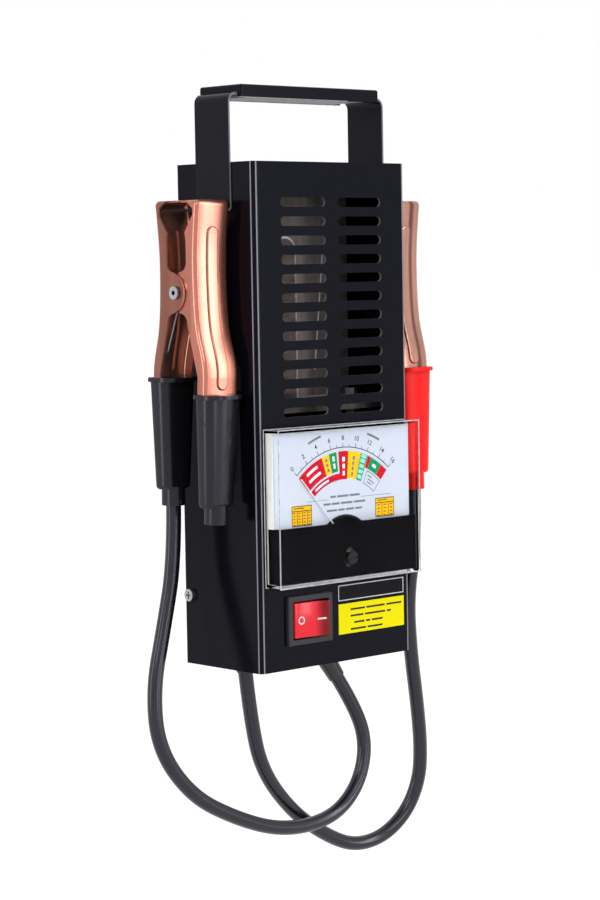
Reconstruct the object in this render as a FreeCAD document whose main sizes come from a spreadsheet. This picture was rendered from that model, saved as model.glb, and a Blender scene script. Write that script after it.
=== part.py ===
import FreeCAD, Part
import math
import os
import re
import Sketcher

# A hand-held load tester for starter batteries: a folded steel case with a
# panel meter, a load switch and a carrying handle, and two spring clamps on
# cables that hang on lugs at the handle's lower ends.
# Millimetres. The case's bottom centre is the working zero, +X to the right,
# +Y to the back, +Z up. Every piece is then lowered so that the zero of the
# finished part is the underside of the handle, where it is held.

Vector = FreeCAD.Vector
Rotation = FreeCAD.Rotation
X_AXIS = Vector(1, 0, 0)
Y_AXIS = Vector(0, 1, 0)
Z_AXIS = Vector(0, 0, 1)

SIZES = (
    # Folded steel case
    ("case_width", 107.0),
    ("case_depth", 58.0),
    ("case_height", 258.0),
    ("case_sheet", 1.2),
    ("case_bend", 3.0),
    ("cover_play", 0.1),
    ("cover_flange", 12.0),
    # Vent slots
    ("slot_length", 31.0),
    ("slot_height", 4.8),
    ("slot_pitch", 9.66),
    ("slot_rows", 12),
    ("slot_spread", 39.6),
    ("slot_drop", 20.4),
    # Cover screws
    ("screw_radius", 1.5),
    ("screw_length", 8.0),
    ("screw_head_radius", 3.2),
    ("screw_head_height", 2.2),
    ("screw_recess_length", 3.6),
    ("screw_recess_width", 0.8),
    ("screw_recess_depth", 1.2),
    ("screw_inset", 4.4),
    ("screw_height", 36.0),
    # Handle strap and its hanger lugs
    ("strap_width", 26.0),
    ("strap_sheet", 1.0),
    ("strap_bend", 5.0),
    ("strap_offset", 0.5),
    ("hand_gap", 34.0),
    ("lug_drop", 24.0),
    ("lug_width", 24.0),
    ("lug_reach", 25.0),
    ("lug_bend", 1.0),
    ("lug_tip_round", 2.0),
    # Grip cap on the strap
    ("grip_length", 97.0),
    ("grip_width", 32.0),
    ("grip_wall", 2.6),
    ("grip_top", 4.0),
    ("grip_lip", 2.4),
    ("grip_round", 1.2),
    # Clamp jaws, measured from the pivot rivet
    ("clamp_gap_left", 3.4),
    ("clamp_gap_right", 2.6),
    ("clamp_width", 22.0),
    ("jaw_sheet", 1.1),
    ("jaw_play", 0.35),
    ("jaw_bend", 2.4),
    ("pivot_drop", 41.0),
    ("tip_rise", 46.0),
    ("tip_half", 16.0),
    ("tip_inner", 6.8),
    ("lip_gap", 0.5),
    ("neck_rise", 22.0),
    ("neck_half", 13.7),
    ("waist_drop", 4.0),
    ("waist_half", 13.8),
    ("swell_drop", 21.0),
    ("swell_half", 15.7),
    ("handle_drop", 42.5),
    ("handle_half", 20.0),
    ("handle_insert", 15.0),
    ("handle_flange", 6.0),
    ("tooth_rise", 30.0),
    ("tooth_half", 6.0),
    ("flange_edge", 6.8),
    ("tooth_root", 26.0),
    ("notch_play", 0.3),
    ("notch_slack", 1.8),
    ("ear_radius", 10.7),
    ("ear_inset", 4.7),
    ("ear_root", 5.0),
    ("bead_width", 7.0),
    ("bead_height", 1.0),
    ("bead_rise", 33.0),
    ("bead_gap", 2.0),
    ("bead_round", 0.8),
    ("rivet_radius", 2.2),
    ("rivet_bore", 1.2),
    ("rivet_head_radius", 3.3),
    ("rivet_head", 1.2),
    ("pivot_play", 0.06),
    # Clamp spring
    ("spring_wire", 1.5),
    ("spring_radius", 3.3),
    ("spring_pitch", 2.1),
    ("spring_turns", 4),
    ("spring_leg", 33.0),
    ("spring_spread", 12.5),
    # Clamp sleeves
    ("sleeve_wall", 1.3),
    ("sleeve_play", 0.1),
    ("sleeve_depth", 11.0),
    ("sleeve_length", 57.0),
    ("sleeve_end_width", 19.2),
    ("sleeve_end_depth", 10.0),
    ("sleeve_round", 4.8),
    ("sleeve_rim", 3.0),
    ("sleeve_rim_width", 26.4),
    ("sleeve_rim_height", 2.0),
    ("sleeve_foot_round", 2.0),
    ("cable_sleeve_drop", 43.0),
    ("free_sleeve_drop", 51.0),
    ("cable_sleeve_tilt", -1.0),
    ("free_sleeve_tilt", 3.1),
    ("nozzle_radius", 6.0),
    ("nozzle_length", 8.4),
    ("nozzle_bore", 3.9),
    # Cables and the grommets that they leave the case by
    ("cable_radius", 3.9),
    ("outlet_spread", 54.0),
    ("outlet_back", 14.5),
    ("grommet_radius", 8.5),
    ("grommet_flange", 4.0),
    ("grommet_neck", 6.5),
    ("grommet_inside", 3.0),
    ("boot_radius", 5.6),
    ("boot_tip_radius", 4.6),
    ("grommet_play", 0.1),
    # Panel meter
    ("meter_width", 100.0),
    ("meter_height", 80.0),
    ("meter_rise", 83.6),
    ("meter_proud", 11.6),
    ("meter_wall", 1.6),
    ("meter_round", 1.6),
    ("meter_play", 0.2),
    ("base_proud", 5.0),
    ("can_radius", 28.0),
    ("can_depth", 30.0),
    ("can_rise", 30.0),
    ("can_wall", 2.0),
    ("dial_sheet", 0.6),
    ("dial_inset", 0.6),
    ("dial_window", 13.0),
    ("mask_height", 30.0),
    ("mask_wall", 1.2),
    ("zero_rise", 11.9),
    ("zero_radius", 3.4),
    ("zero_proud", 0.8),
    ("zero_flange", 1.0),
    ("zero_flange_radius", 4.4),
    ("zero_pin_radius", 0.8),
    ("zero_pin_length", 1.0),
    ("zero_pin_offset", 1.8),
    ("zero_slot_width", 1.0),
    ("zero_slot_depth", 1.0),
    ("zero_play", 0.06),
    ("stud_radius", 1.5),
    ("stud_length", 8.0),
    ("stud_play", 0.2),
    ("stud_spread_x", 84.0),
    ("stud_spread_z", 64.0),
    ("nut_radius", 3.2),
    ("nut_height", 2.4),
    ("terminal_radius", 2.0),
    ("terminal_length", 10.0),
    ("terminal_spread", 24.0),
    ("terminal_nut_radius", 4.0),
    ("terminal_nut_height", 3.2),
    # Meter movement
    ("axis_rise", 19.9),
    ("movement_depth", 15.0),
    ("pointer_length", 46.0),
    ("pointer_tail", 9.0),
    ("pointer_width", 0.5),
    ("pointer_sheet", 0.4),
    ("pointer_gap", 1.2),
    ("pointer_hub", 2.6),
    ("pointer_sweep", 84.0),
    ("shaft_radius", 0.6),
    ("shaft_play", 0.05),
    ("coil_half", 10.0),
    ("coil_length", 18.0),
    ("coil_wire", 1.4),
    ("coil_thick", 4.4),
    ("core_radius", 8.0),
    ("core_length", 14.0),
    ("core_lug", 3.0),
    ("core_play", 0.05),
    ("yoke_radius", 15.0),
    ("yoke_bore", 10.7),
    ("yoke_length", 12.0),
    ("post_radius", 1.8),
    ("bridge_width", 4.0),
    ("bridge_sheet", 1.2),
    ("bridge_gap", 1.3),
    # Load switch
    ("switch_width", 31.0),
    ("switch_height", 25.5),
    ("switch_offset", 20.8),
    ("switch_rise", 25.0),
    ("switch_bezel", 2.2),
    ("switch_bezel_round", 0.8),
    ("switch_wall", 1.3),
    ("switch_play", 0.2),
    ("switch_body_depth", 20.0),
    ("switch_well_depth", 12.0),
    ("rocker_half", 11.4),
    ("rocker_height", 19.0),
    ("rocker_play", 0.35),
    ("rocker_angle", 18.0),
    ("rocker_proud", 0.3),
    ("rocker_pivot_depth", 3.0),
    ("rocker_foot_width", 14.0),
    ("rocker_foot_depth", 5.0),
    ("rocker_skirt", 6.0),
    ("trunnion_radius", 2.0),
    ("trunnion_length", 0.9),
    ("trunnion_play", 0.06),
    ("blade_width", 6.3),
    ("blade_sheet", 0.8),
    ("blade_length", 8.0),
    ("blade_spread", 14.0),
    # Load ribbon, its insulating shelf and the heat shield behind it
    ("ribbon_width", 16.0),
    ("ribbon_sheet", 1.0),
    ("ribbon_gap", 16.0),
    ("ribbon_bend", 7.0),
    ("ribbon_front", 14.0),
    ("ribbon_rise", 84.0),
    ("ribbon_foot", 14.0),
    ("foot_bend", 2.0),
    ("shelf_rise", 130.0),
    ("shelf_sheet", 6.0),
    ("shelf_edge", 4.2),
    ("shelf_front", 17.0),
    ("bolt_radius", 2.5),
    ("bolt_play", 0.1),
    ("bolt_head_radius", 4.6),
    ("bolt_head_height", 3.5),
    ("bolt_tail", 8.0),
    ("shield_back", 8.0),
    ("shield_sheet", 0.8),
    ("shield_rise", 110.0),
    ("shield_bend", 2.0),
    # Inner leads
    ("lead_radius", 1.6),
)

document = FreeCAD.newDocument("BatteryTester")
sheet = document.addObject("Spreadsheet::Sheet", "Sizes")
for row, (alias, value) in enumerate(SIZES, start=1):
    sheet.set("A%d" % row, alias)
    sheet.set("B%d" % row, str(value))
    sheet.setAlias("B%d" % row, alias)


def settle():
    """Recomputes the document until no object is left waiting."""
    document.recompute()
    for thing in document.Objects:
        if "Touched" in thing.State:
            thing.touch()
            document.recompute()


settle()

ALIASES = {alias for alias, value in SIZES}
DROP = "case_height + hand_gap"
nodes = []


def size(alias):
    """One driving dimension as a number."""
    return float(sheet.get(alias))


def bound(expression):
    """An expression in plain size names, with each name tied to its sheet cell."""
    def cell(match):
        word = match.group(0)
        return "Sizes." + word if word in ALIASES else word
    return re.sub(r"[a-z_]+[a-z]", cell, str(expression))


def tie(target, **expressions):
    """Binds properties to sizes; two underscores stand for a dot in a property's path."""
    for path, expression in expressions.items():
        target.setExpression(path.replace("__", "."), bound(expression))
    return target


def tie_base(target, x, y, z):
    """Binds the base point of a placement."""
    return tie(target, Placement__Base__x=x, Placement__Base__y=y, Placement__Base__z=z)


def block(name, x, y, z):
    """A box between two expressions along each axis."""
    box = document.addObject("Part::Box", name)
    spans = [("(%s) - (%s)" % (high, low)) for low, high in (x, y, z)]
    tie(box, Length=spans[0], Width=spans[1], Height=spans[2])
    return tie_base(box, x[0], y[0], z[0])


TURNS = {"x": Rotation(Y_AXIS, 90), "y": Rotation(X_AXIS, -90), "z": Rotation()}


def rod(name, radius, length, base, along):
    """A round bar of a given length from its base point along +X, +Y or +Z."""
    bar = document.addObject("Part::Cylinder", name)
    bar.Placement = FreeCAD.Placement(Vector(), TURNS[along])
    tie(bar, Radius=radius, Height=length)
    return tie_base(bar, *base)


def hexagon(name, radius, length, base, along):
    """A six-sided bar, for bolt heads and nuts."""
    bar = document.addObject("Part::Prism", name)
    bar.Placement = FreeCAD.Placement(Vector(), TURNS[along])
    tie(bar, Circumradius=radius, Height=length)
    return tie_base(bar, *base)


def fuse(name, shapes):
    """Several shapes as one solid."""
    joined = document.addObject("Part::MultiFuse", name)
    joined.Shapes = shapes
    joined.Refine = True
    return joined


def cut(name, base, tools):
    """A shape with one or more tools taken out of it."""
    result = document.addObject("Part::Cut", name)
    result.Base = base
    result.Tool = tools[0] if len(tools) == 1 else fuse(name + "_tools", tools)
    result.Refine = True
    return result


def group(name, shapes):
    """Separate solids that share one node, such as a set of screws."""
    together = document.addObject("Part::Compound", name)
    together.Links = shapes
    return together


def node(label, shape_object):
    """Names a finished piece and lowers it to the part's own zero."""
    shape_object.Label = label
    tie(shape_object, Placement__Base__z="-(%s)" % DROP)
    nodes.append(shape_object)
    return shape_object


def solid_node(label, shape, place=None):
    """A piece whose shape is worked out here, placed and lowered to the part's own zero."""
    piece = document.addObject("Part::Feature", label)
    piece.Shape = shape
    lowered = FreeCAD.Placement(Vector(0, 0, -size("case_height") - size("hand_gap")), Rotation())
    placed = lowered.multiply(place) if place else lowered
    piece.Placement = placed.multiply(shape.Placement)
    piece.Label = label
    nodes.append(piece)
    return piece


def plane_of(body, role):
    return next(plane for plane in body.Origin.OriginFeatures if plane.Role == role)


def new_sketch(body, role, name, offset=None):
    """A sketch on one of the body's own planes, moved along that plane's normal."""
    sketch = body.newObject("Sketcher::SketchObject", name)
    sketch.AttachmentSupport = (plane_of(body, role), [""])
    sketch.MapMode = "FlatFace"
    if offset:
        tie(sketch, AttachmentOffset__Base__z=offset)
    return sketch


def dimension(sketch, kind, where, expression, start):
    """Adds one driven dimension, bound to the sheet."""
    index = sketch.addConstraint(Sketcher.Constraint(kind, *where, start))
    sketch.setExpression("Constraints[%d]" % index, bound(expression))


ORIGIN_POINT = (-1, 1)


def rectangle(sketch, x, y):
    """A rectangle between two expressions each way, measured from the sketch's origin."""
    first = sketch.GeometryCount
    corners = [Vector(-1, -1, 0), Vector(1, -1, 0), Vector(1, 1, 0), Vector(-1, 1, 0)]
    for start, end in zip(corners, corners[1:] + corners[:1]):
        sketch.addGeometry(Part.LineSegment(start, end))
    for side in range(4):
        sketch.addConstraint(Sketcher.Constraint("Coincident", first + side, 2, first + (side + 1) % 4, 1))
        sketch.addConstraint(Sketcher.Constraint("Vertical" if side % 2 else "Horizontal", first + side))
    dimension(sketch, "DistanceX", (*ORIGIN_POINT, first, 1), x[0], -1)
    dimension(sketch, "DistanceX", (*ORIGIN_POINT, first + 1, 2), x[1], 1)
    dimension(sketch, "DistanceY", (*ORIGIN_POINT, first, 1), y[0], -1)
    dimension(sketch, "DistanceY", (*ORIGIN_POINT, first + 1, 2), y[1], 1)


def circle(sketch, x, y, radius):
    """A circle at a point measured from the sketch's origin."""
    index = sketch.addGeometry(Part.Circle(Vector(1, 1, 0), Z_AXIS, 1))
    dimension(sketch, "Radius", (index,), radius, 1)
    dimension(sketch, "DistanceX", (*ORIGIN_POINT, index, 3), x, 1)
    dimension(sketch, "DistanceY", (*ORIGIN_POINT, index, 3), y, 1)


def vent_slot(sketch, side):
    """A round-ended vent slot of the top row, left (-1) or right (1) of the middle."""
    first = sketch.GeometryCount
    radius = size("slot_height") / 2
    centre = Vector(side * size("slot_spread") / 2, size("case_height") - size("slot_drop"), 0)
    half = X_AXIS * (size("slot_length") / 2 - radius)
    rise = Y_AXIS * radius
    quarter = math.pi / 2
    sketch.addGeometry(Part.LineSegment(centre + rise - half, centre + rise + half))
    sketch.addGeometry(Part.ArcOfCircle(Part.Circle(centre + half, Z_AXIS, radius), -quarter, quarter))
    sketch.addGeometry(Part.LineSegment(centre + half - rise, centre - rise - half))
    sketch.addGeometry(Part.ArcOfCircle(Part.Circle(centre - half, Z_AXIS, radius), quarter, 3 * quarter))
    top, right, bottom, left = range(first, first + 4)
    for one, one_end, other, other_end in ((top, 2, right, 2), (right, 1, bottom, 1),
                                           (bottom, 2, left, 2), (left, 1, top, 1)):
        sketch.addConstraint(Sketcher.Constraint("Tangent", one, one_end, other, other_end))
    sketch.addConstraint(Sketcher.Constraint("Equal", right, left))
    dimension(sketch, "Radius", (right,), "slot_height / 2", radius)
    for arc, way in ((right, 1), (left, -1)):
        dimension(sketch, "DistanceX", (*ORIGIN_POINT, arc, 3),
                  "%d * slot_spread / 2 + %d * (slot_length - slot_height) / 2" % (side, way),
                  centre.x + way * half.x)
        dimension(sketch, "DistanceY", (*ORIGIN_POINT, arc, 3), "case_height - slot_drop", centre.y)


def pad(body, name, sketch, length):
    feature = body.newObject("PartDesign::Pad", name)
    feature.Profile = sketch
    return tie(feature, Length=length)


def pocket(body, name, sketch, length, symmetric=False, reverse=False):
    """A pocket of a given length, checked that it takes material away."""
    settle()
    before = body.Shape.Volume
    feature = body.newObject("PartDesign::Pocket", name)
    feature.Profile = sketch
    feature.Reversed = reverse
    if symmetric:
        feature.SideType = "Symmetric"
    tie(feature, Length=length)
    settle()
    if body.Shape.Volume >= before:
        raise RuntimeError("%s cuts nothing" % name)
    return feature


def edge_names(shape, wanted):
    return ["Edge%d" % (i + 1) for i, edge in enumerate(shape.Edges) if wanted(edge)]


def face_names(shape, wanted):
    return ["Face%d" % (i + 1) for i, face in enumerate(shape.Faces) if wanted(face)]


def near(one, other):
    return abs(one - other) < 0.001


def flat_towards(face, direction):
    """True for a plane face whose outward normal points along the direction."""
    return isinstance(face.Surface, Part.Plane) and face.normalAt(0, 0).dot(direction) > 0.999


def straight_path(points, radii):
    """Straight runs between the points, joined by tangent arcs of the given radii."""
    edges = []
    start = points[0]
    for before, corner, after, radius in zip(points, points[1:], points[2:], radii):
        into = (corner - before).normalize()
        out = (after - corner).normalize()
        reach = radius * math.tan(into.getAngle(out) / 2)
        arc_start = corner - into * reach
        arc_end = corner + out * reach
        inward = (out - into).normalize()
        to_middle = math.hypot(radius, reach) - radius
        if not near((arc_start - start).Length, 0):
            edges.append(Part.LineSegment(start, arc_start).toShape())
        edges.append(Part.Arc(arc_start, corner + inward * to_middle, arc_end).toShape())
        start = arc_end
    edges.append(Part.LineSegment(start, points[-1]).toShape())
    return edges


def bent_sheet(points, radii, thickness, width, across):
    """A bent strip: its middle line runs along the points, and its width lies across them."""
    runs = [(end - start).normalize() for start, end in zip(points, points[1:])]
    lefts = [across.cross(run) for run in runs]
    edges = []
    ends = []
    for side in (thickness / 2, -thickness / 2):
        shifted = [points[0] + lefts[0] * side]
        bends = []
        for corner, one, other, run, radius in zip(points[1:], lefts, lefts[1:], runs[1:], radii):
            shifted.append(corner + (one + other) * (side / (1 + one.dot(other))))
            bends.append(radius - math.copysign(1, one.dot(run)) * side)
        shifted.append(points[-1] + lefts[-1] * side)
        edges += straight_path(shifted, bends)
        ends.append((shifted[0], shifted[-1]))
    for one, other in zip(*ends):
        edges.append(Part.LineSegment(one, other).toShape())
    outline = Part.Wire(Part.__sortEdges__(edges))
    strip = Part.Face(outline).extrude(across * width)
    strip.translate(across * (-width / 2))
    return strip


def tube(points, radius, label):
    """A round cord along straight runs joined by wide arcs, with its volume checked."""
    radii = []
    for before, corner, after in zip(points, points[1:], points[2:]):
        into = corner - before
        out = after - corner
        shorter = min(into.Length, out.Length)
        radii.append(CORD_EASE * shorter / math.tan(into.getAngle(out) / 2))
    path = Part.Wire(straight_path(points, radii))
    section = Part.Wire([Part.Circle(points[0], points[1] - points[0], radius).toShape()])
    cord = path.makePipeShell([section], True, False)
    expected = math.pi * radius * radius * path.Length
    print("%s: length %.1f mm, tightest bend %.1f mm, volume ratio %.4f"
          % (label, path.Length, min(radii), cord.Volume / expected))
    return cord


def biarc(start, start_way, end, end_way):
    """Two arcs that join two points with the given directions and meet smoothly."""
    chord = end - start
    both = start_way + end_way
    along = chord.dot(both)
    spare = 2 * (1 - start_way.dot(end_way))
    reach = (-along + math.sqrt(along * along + spare * chord.dot(chord))) / spare
    one = start + start_way * reach
    other = end - end_way * reach
    middle = (one + other) / 2
    arcs = []
    for first, corner, last in ((start, one, middle), (middle, other, end)):
        into = (corner - first).normalize()
        out = (last - corner).normalize()
        half = into.getAngle(out) / 2
        radius = (corner - first).Length / math.tan(half)
        bulge = radius / math.cos(half) - radius
        arcs.append(Part.Arc(first, corner + (out - into).normalize() * bulge, last).toShape())
    return arcs


CORD_EASE = 0.45

# Front case: the front panel and both sides, one folded sheet. The meter's
# can, its four fixings, the switch and two columns of vent slots are cut in
# the front, and the cover screws' holes in the sides.
front_case = document.addObject("PartDesign::Body", "front_case")
case_outline = new_sketch(front_case, "XY_Plane", "case_outline")
rectangle(case_outline, ("-case_width / 2", "case_width / 2"), ("-case_depth / 2", "case_depth / 2"))
case_block = pad(front_case, "case_block", case_outline, "case_height")
settle()
front_y = -size("case_depth") / 2
bends = front_case.newObject("PartDesign::Fillet", "case_bends")
upright = edge_names(case_block.Shape, lambda edge: near(edge.BoundBox.YMax, front_y)
                     and near(edge.BoundBox.ZLength, size("case_height")))
bends.Base = (case_block, upright)
tie(bends, Radius="case_bend")
settle()
walls = front_case.newObject("PartDesign::Thickness", "case_walls")
open_sides = face_names(bends.Shape, lambda face: flat_towards(face, Y_AXIS)
                        or flat_towards(face, Z_AXIS) or flat_towards(face, -Z_AXIS))
walls.Base = (bends, open_sides)
walls.Reversed = True
tie(walls, Value="case_sheet")
settle()
slot_row = new_sketch(front_case, "XZ_Plane", "slot_row")
for side in (-1, 1):
    vent_slot(slot_row, side)
top_slots = pocket(front_case, "top_slots", slot_row, "case_depth", reverse=True)
slot_ranks = front_case.newObject("PartDesign::LinearPattern", "slot_ranks")
slot_ranks.Originals = [top_slots]
slot_ranks.Direction = (plane_of(front_case, "Z_Axis"), [""])
slot_ranks.Reversed = True
tie(slot_ranks, Length="slot_pitch * (slot_rows - 1)", Occurrences="slot_rows")
front_case.Tip = slot_ranks
settle()
panel_holes = new_sketch(front_case, "XZ_Plane", "panel_holes")
METER_FOOT = "meter_rise - meter_height / 2"
can_z = METER_FOOT + " + can_rise"
circle(panel_holes, "0", can_z, "can_radius + meter_play")
for side in ("-", "+"):
    for level in ("-", "+"):
        circle(panel_holes, "%sstud_spread_x / 2" % side, "meter_rise %s stud_spread_z / 2" % level,
               "stud_radius + stud_play")
ROCKER_REACH = ("sqrt(rocker_half ^ 2 + rocker_pivot_depth ^ 2"
                " + 2 * rocker_half * rocker_pivot_depth * sin(rocker_angle / 2 * 1 deg))")
SWITCH_HALF_WIDTH = "(%s + rocker_play + switch_wall)" % ROCKER_REACH
SWITCH_HALF_HEIGHT = "(rocker_height / 2 + rocker_play + switch_wall)"
rectangle(panel_holes,
          ("-switch_offset - %s - switch_play" % SWITCH_HALF_WIDTH,
           "-switch_offset + %s + switch_play" % SWITCH_HALF_WIDTH),
          ("switch_rise - %s - switch_play" % SWITCH_HALF_HEIGHT,
           "switch_rise + %s + switch_play" % SWITCH_HALF_HEIGHT))
pocket(front_case, "panel_cuts", panel_holes, "case_depth", reverse=True)
side_holes = new_sketch(front_case, "YZ_Plane", "side_holes")
for level in ("screw_height", "case_height - screw_height"):
    circle(side_holes, "case_depth / 2 - screw_inset", level, "screw_radius + cover_play")
pocket(front_case, "side_cuts", side_holes, "case_width * 2", symmetric=True)
node("front_case", front_case)

# Rear cover: a pan that closes the back, the top and the bottom and slides
# in between the sides, with a narrow flange along each side for the screws.
cover_x = "(case_width / 2 - case_sheet - cover_play)"
cover_outer = block("cover_outer", ("-" + cover_x, cover_x),
                    ("-case_depth / 2 + case_sheet + cover_play", "case_depth / 2"), ("0", "case_height"))
cover_hollow = block("cover_hollow", ("-%s + case_sheet" % cover_x, "%s - case_sheet" % cover_x),
                     ("-case_depth", "case_depth / 2 - case_sheet"), ("case_sheet", "case_height - case_sheet"))
cover_sides = block("cover_sides", ("-case_width", "case_width"),
                    ("-case_depth", "case_depth / 2 - cover_flange"), ("case_sheet", "case_height - case_sheet"))
cover_tools = [cover_hollow, cover_sides]
for side, low, high in (("left", "-case_width", "-case_width / 2 + case_bend"),
                        ("right", "case_width / 2 - case_bend", "case_width")):
    cover_tools.append(block("%s_relief" % side, (low, high), ("-case_depth", "-case_depth / 2 + case_bend"),
                             ("-case_height", "case_height * 2")))
for name, level in (("low", "screw_height"), ("high", "case_height - screw_height")):
    cover_tools.append(rod("%s_screw_hole" % name, "screw_radius + cover_play", "case_width * 2",
                           ("-case_width", "case_depth / 2 - screw_inset", level), "x"))
for name, side in (("left", "-"), ("right", "")):
    cover_tools.append(rod("%s_outlet" % name, "grommet_neck", "case_sheet * 4",
                           (side + "outlet_spread / 2", "outlet_back", "-case_sheet"), "z"))
node("rear_cover", cut("rear_cover", cover_outer, cover_tools))

# Cover screws: four pan heads with a cross recess, two in each side.
screws = []
screw_y = "case_depth / 2 - screw_inset"
for name, level in (("low", "screw_height"), ("high", "case_height - screw_height")):
    for side, sign in (("left", "-"), ("right", "")):
        face_x = "%s(case_width / 2)" % sign
        head_x = face_x if side == "right" else face_x + " - screw_head_height"
        shank_x = face_x + " - screw_length" if side == "right" else face_x
        label = "%s_%s" % (name, side)
        head = rod(label + "_head", "screw_head_radius", "screw_head_height", (head_x, screw_y, level), "x")
        shank = rod(label + "_shank", "screw_radius", "screw_length", (shank_x, screw_y, level), "x")
        mouth = face_x + (" + " if side == "right" else " - ") + "screw_head_height"
        spans = ("%s - screw_recess_depth" % mouth, "%s + screw_recess_depth" % mouth)
        long_half, short_half = "screw_recess_length / 2", "screw_recess_width / 2"
        recess = []
        for arm, half_y, half_z in (("flat", long_half, short_half), ("tall", short_half, long_half)):
            recess.append(block("%s_%s" % (label, arm), spans,
                                ("%s - %s" % (screw_y, half_y), "%s + %s" % (screw_y, half_y)),
                                ("%s - %s" % (level, half_z), "%s + %s" % (level, half_z))))
        screws.append(cut(label + "_screw", fuse(label + "_blank", [head, shank]), recess))
node("cover_screws", group("cover_screws", screws))

# Handle strap: one steel strip bent up over the case, spot-welded to both
# sides, with its ends bent out as lugs that the clamps hang on.
strap_x = (size("case_width") + size("strap_sheet")) / 2
strap_z = size("case_height") + size("hand_gap") + size("strap_sheet") / 2
lug_z = size("case_height") - size("lug_drop")
lug_x = size("case_width") / 2 + size("lug_reach")
strap_y = size("strap_offset")
strap_line = [Vector(x, strap_y, z) for x, z in ((-lug_x, lug_z), (-strap_x, lug_z), (-strap_x, strap_z),
                                                 (strap_x, strap_z), (strap_x, lug_z), (lug_x, lug_z))]
lug_radius = size("lug_bend") + size("strap_sheet") / 2
top_radius = size("strap_bend") - size("strap_sheet") / 2
strap = bent_sheet(strap_line, (lug_radius, top_radius, top_radius, lug_radius),
                   size("strap_sheet"), size("strap_width"), Y_AXIS)
trim_width = (size("strap_width") - size("lug_width")) / 2
trim_x = size("case_width") / 2 + size("strap_sheet") + size("lug_bend")
for side in (-1, 1):
    for edge_y in (-size("strap_width") / 2, size("lug_width") / 2):
        corner = Vector(min(side * trim_x, side * lug_x), strap_y + edge_y, lug_z - size("strap_sheet"))
        strap = strap.cut(Part.makeBox(lug_x - trim_x, trim_width, 2 * size("strap_sheet"), corner))
tips = [edge for edge in strap.Edges if near(abs(edge.CenterOfMass.x), lug_x)
        and near(edge.BoundBox.ZLength, size("strap_sheet")) and near(edge.BoundBox.YLength, 0)]
strap = strap.makeFillet(size("lug_tip_round"), tips)
solid_node("handle_strap", strap)

# Handle grip: a moulded cap pressed on the strap's top, with a lip down each edge.
handle_grip = document.addObject("PartDesign::Body", "handle_grip")
cap_outline = new_sketch(handle_grip, "XY_Plane", "cap_outline",
                         "case_height + hand_gap + strap_sheet - grip_lip")
rectangle(cap_outline, ("-grip_length / 2", "grip_length / 2"),
          ("strap_offset - grip_width / 2", "strap_offset + grip_width / 2"))
cap_block = pad(handle_grip, "cap_block", cap_outline, "grip_top + grip_lip")
settle()
cap_rounds = handle_grip.newObject("PartDesign::Fillet", "cap_rounds")
cap_bottom = cap_block.Shape.BoundBox.ZMin
cap_rounds.Base = (cap_block, edge_names(cap_block.Shape, lambda edge: not near(edge.BoundBox.ZMax, cap_bottom)))
tie(cap_rounds, Radius="grip_round")
settle()
cap_channel = new_sketch(handle_grip, "XY_Plane", "cap_channel", "case_height + hand_gap + strap_sheet")
rectangle(cap_channel, ("-grip_length", "grip_length"),
          ("strap_offset - grip_width / 2 + grip_wall", "strap_offset + grip_width / 2 - grip_wall"))
pocket(handle_grip, "cap_hollow", cap_channel, "grip_lip * 2")
node("handle_grip", handle_grip)

# Clamp jaws: pressed copper halves, open towards each other, with a closed
# tip and lip, a notch that sits on the lug, a tooth, round ears for the pivot
# rivet and a stiffening bead along the back. Each is drawn in a frame on its
# rivet: y away from the mouth, z up, and turned round for the other half. The
# halves are alike and set a little sideways, so that their ears lie side by side.


def web_points(shift):
    """The jaw's back from the tip to the start of its handle, moved outwards by shift."""
    stations = (("tip_half", size("tip_rise")), ("neck_half", size("neck_rise")),
                ("waist_half", -size("waist_drop")), ("swell_half", -size("swell_drop")),
                ("handle_half", -size("handle_drop")))
    return [Vector(0, size(half) + shift, rise) for half, rise in stations]


def handle_way(tilt):
    """The direction in which a jaw's handle runs, from the pivot down."""
    lean = math.radians(tilt)
    return Vector(0, -math.sin(lean), -math.cos(lean))


def handle_axis(tilt, drop):
    """The point on the handle's middle line at a depth below the pivot."""
    way = handle_way(tilt)
    inward = Vector(0, way.z, -way.y)
    top = web_points(0)[-1] + inward * (size("handle_flange") / 2)
    return top + way * ((-drop - top.z) / way.z)


def back_edges(shift, tilt, end):
    """The curved back and the straight handle as two edges, with the handle's end point."""
    points = web_points(shift)
    way = handle_way(tilt)
    curve = Part.BSplineCurve()
    curve.interpolate(Points=points, InitialTangent=points[1] - points[0], FinalTangent=way)
    last = points[-1] + way * ((-end - points[-1].z) / way.z)
    return [curve.toShape(), Part.LineSegment(points[-1], last).toShape()], last


def across(outline_edges, width):
    """A closed outline in the jaw's plane as a solid of the given width."""
    solid = Part.Face(Part.Wire(Part.__sortEdges__(outline_edges))).extrude(X_AXIS * width)
    solid.translate(X_AXIS * (-width / 2))
    return solid


def chain(points):
    return [Part.LineSegment(start, end).toShape() for start, end in zip(points, points[1:])]


def rounded(solid, radius, top, half_width):
    """The folds between the jaw's back, its flanges and its closed tip, rounded."""
    middle_y = size("handle_half") - size("handle_flange") / 2
    back_y = size("tip_half") - size("jaw_bend")

    def fold(edge):
        middle = edge.valueAt((edge.FirstParameter + edge.LastParameter) / 2)
        if near(middle.z, top):
            return near(abs(middle.x), half_width) or middle.y > back_y
        if not near(abs(middle.x), half_width):
            return False
        return isinstance(edge.Curve, Part.BSplineCurve) or (middle.z < -size("handle_drop") and middle.y > middle_y
                                                             and edge.BoundBox.ZLength > radius)
    return solid.makeFillet(radius, [edge for edge in solid.Edges if fold(edge)])


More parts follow.
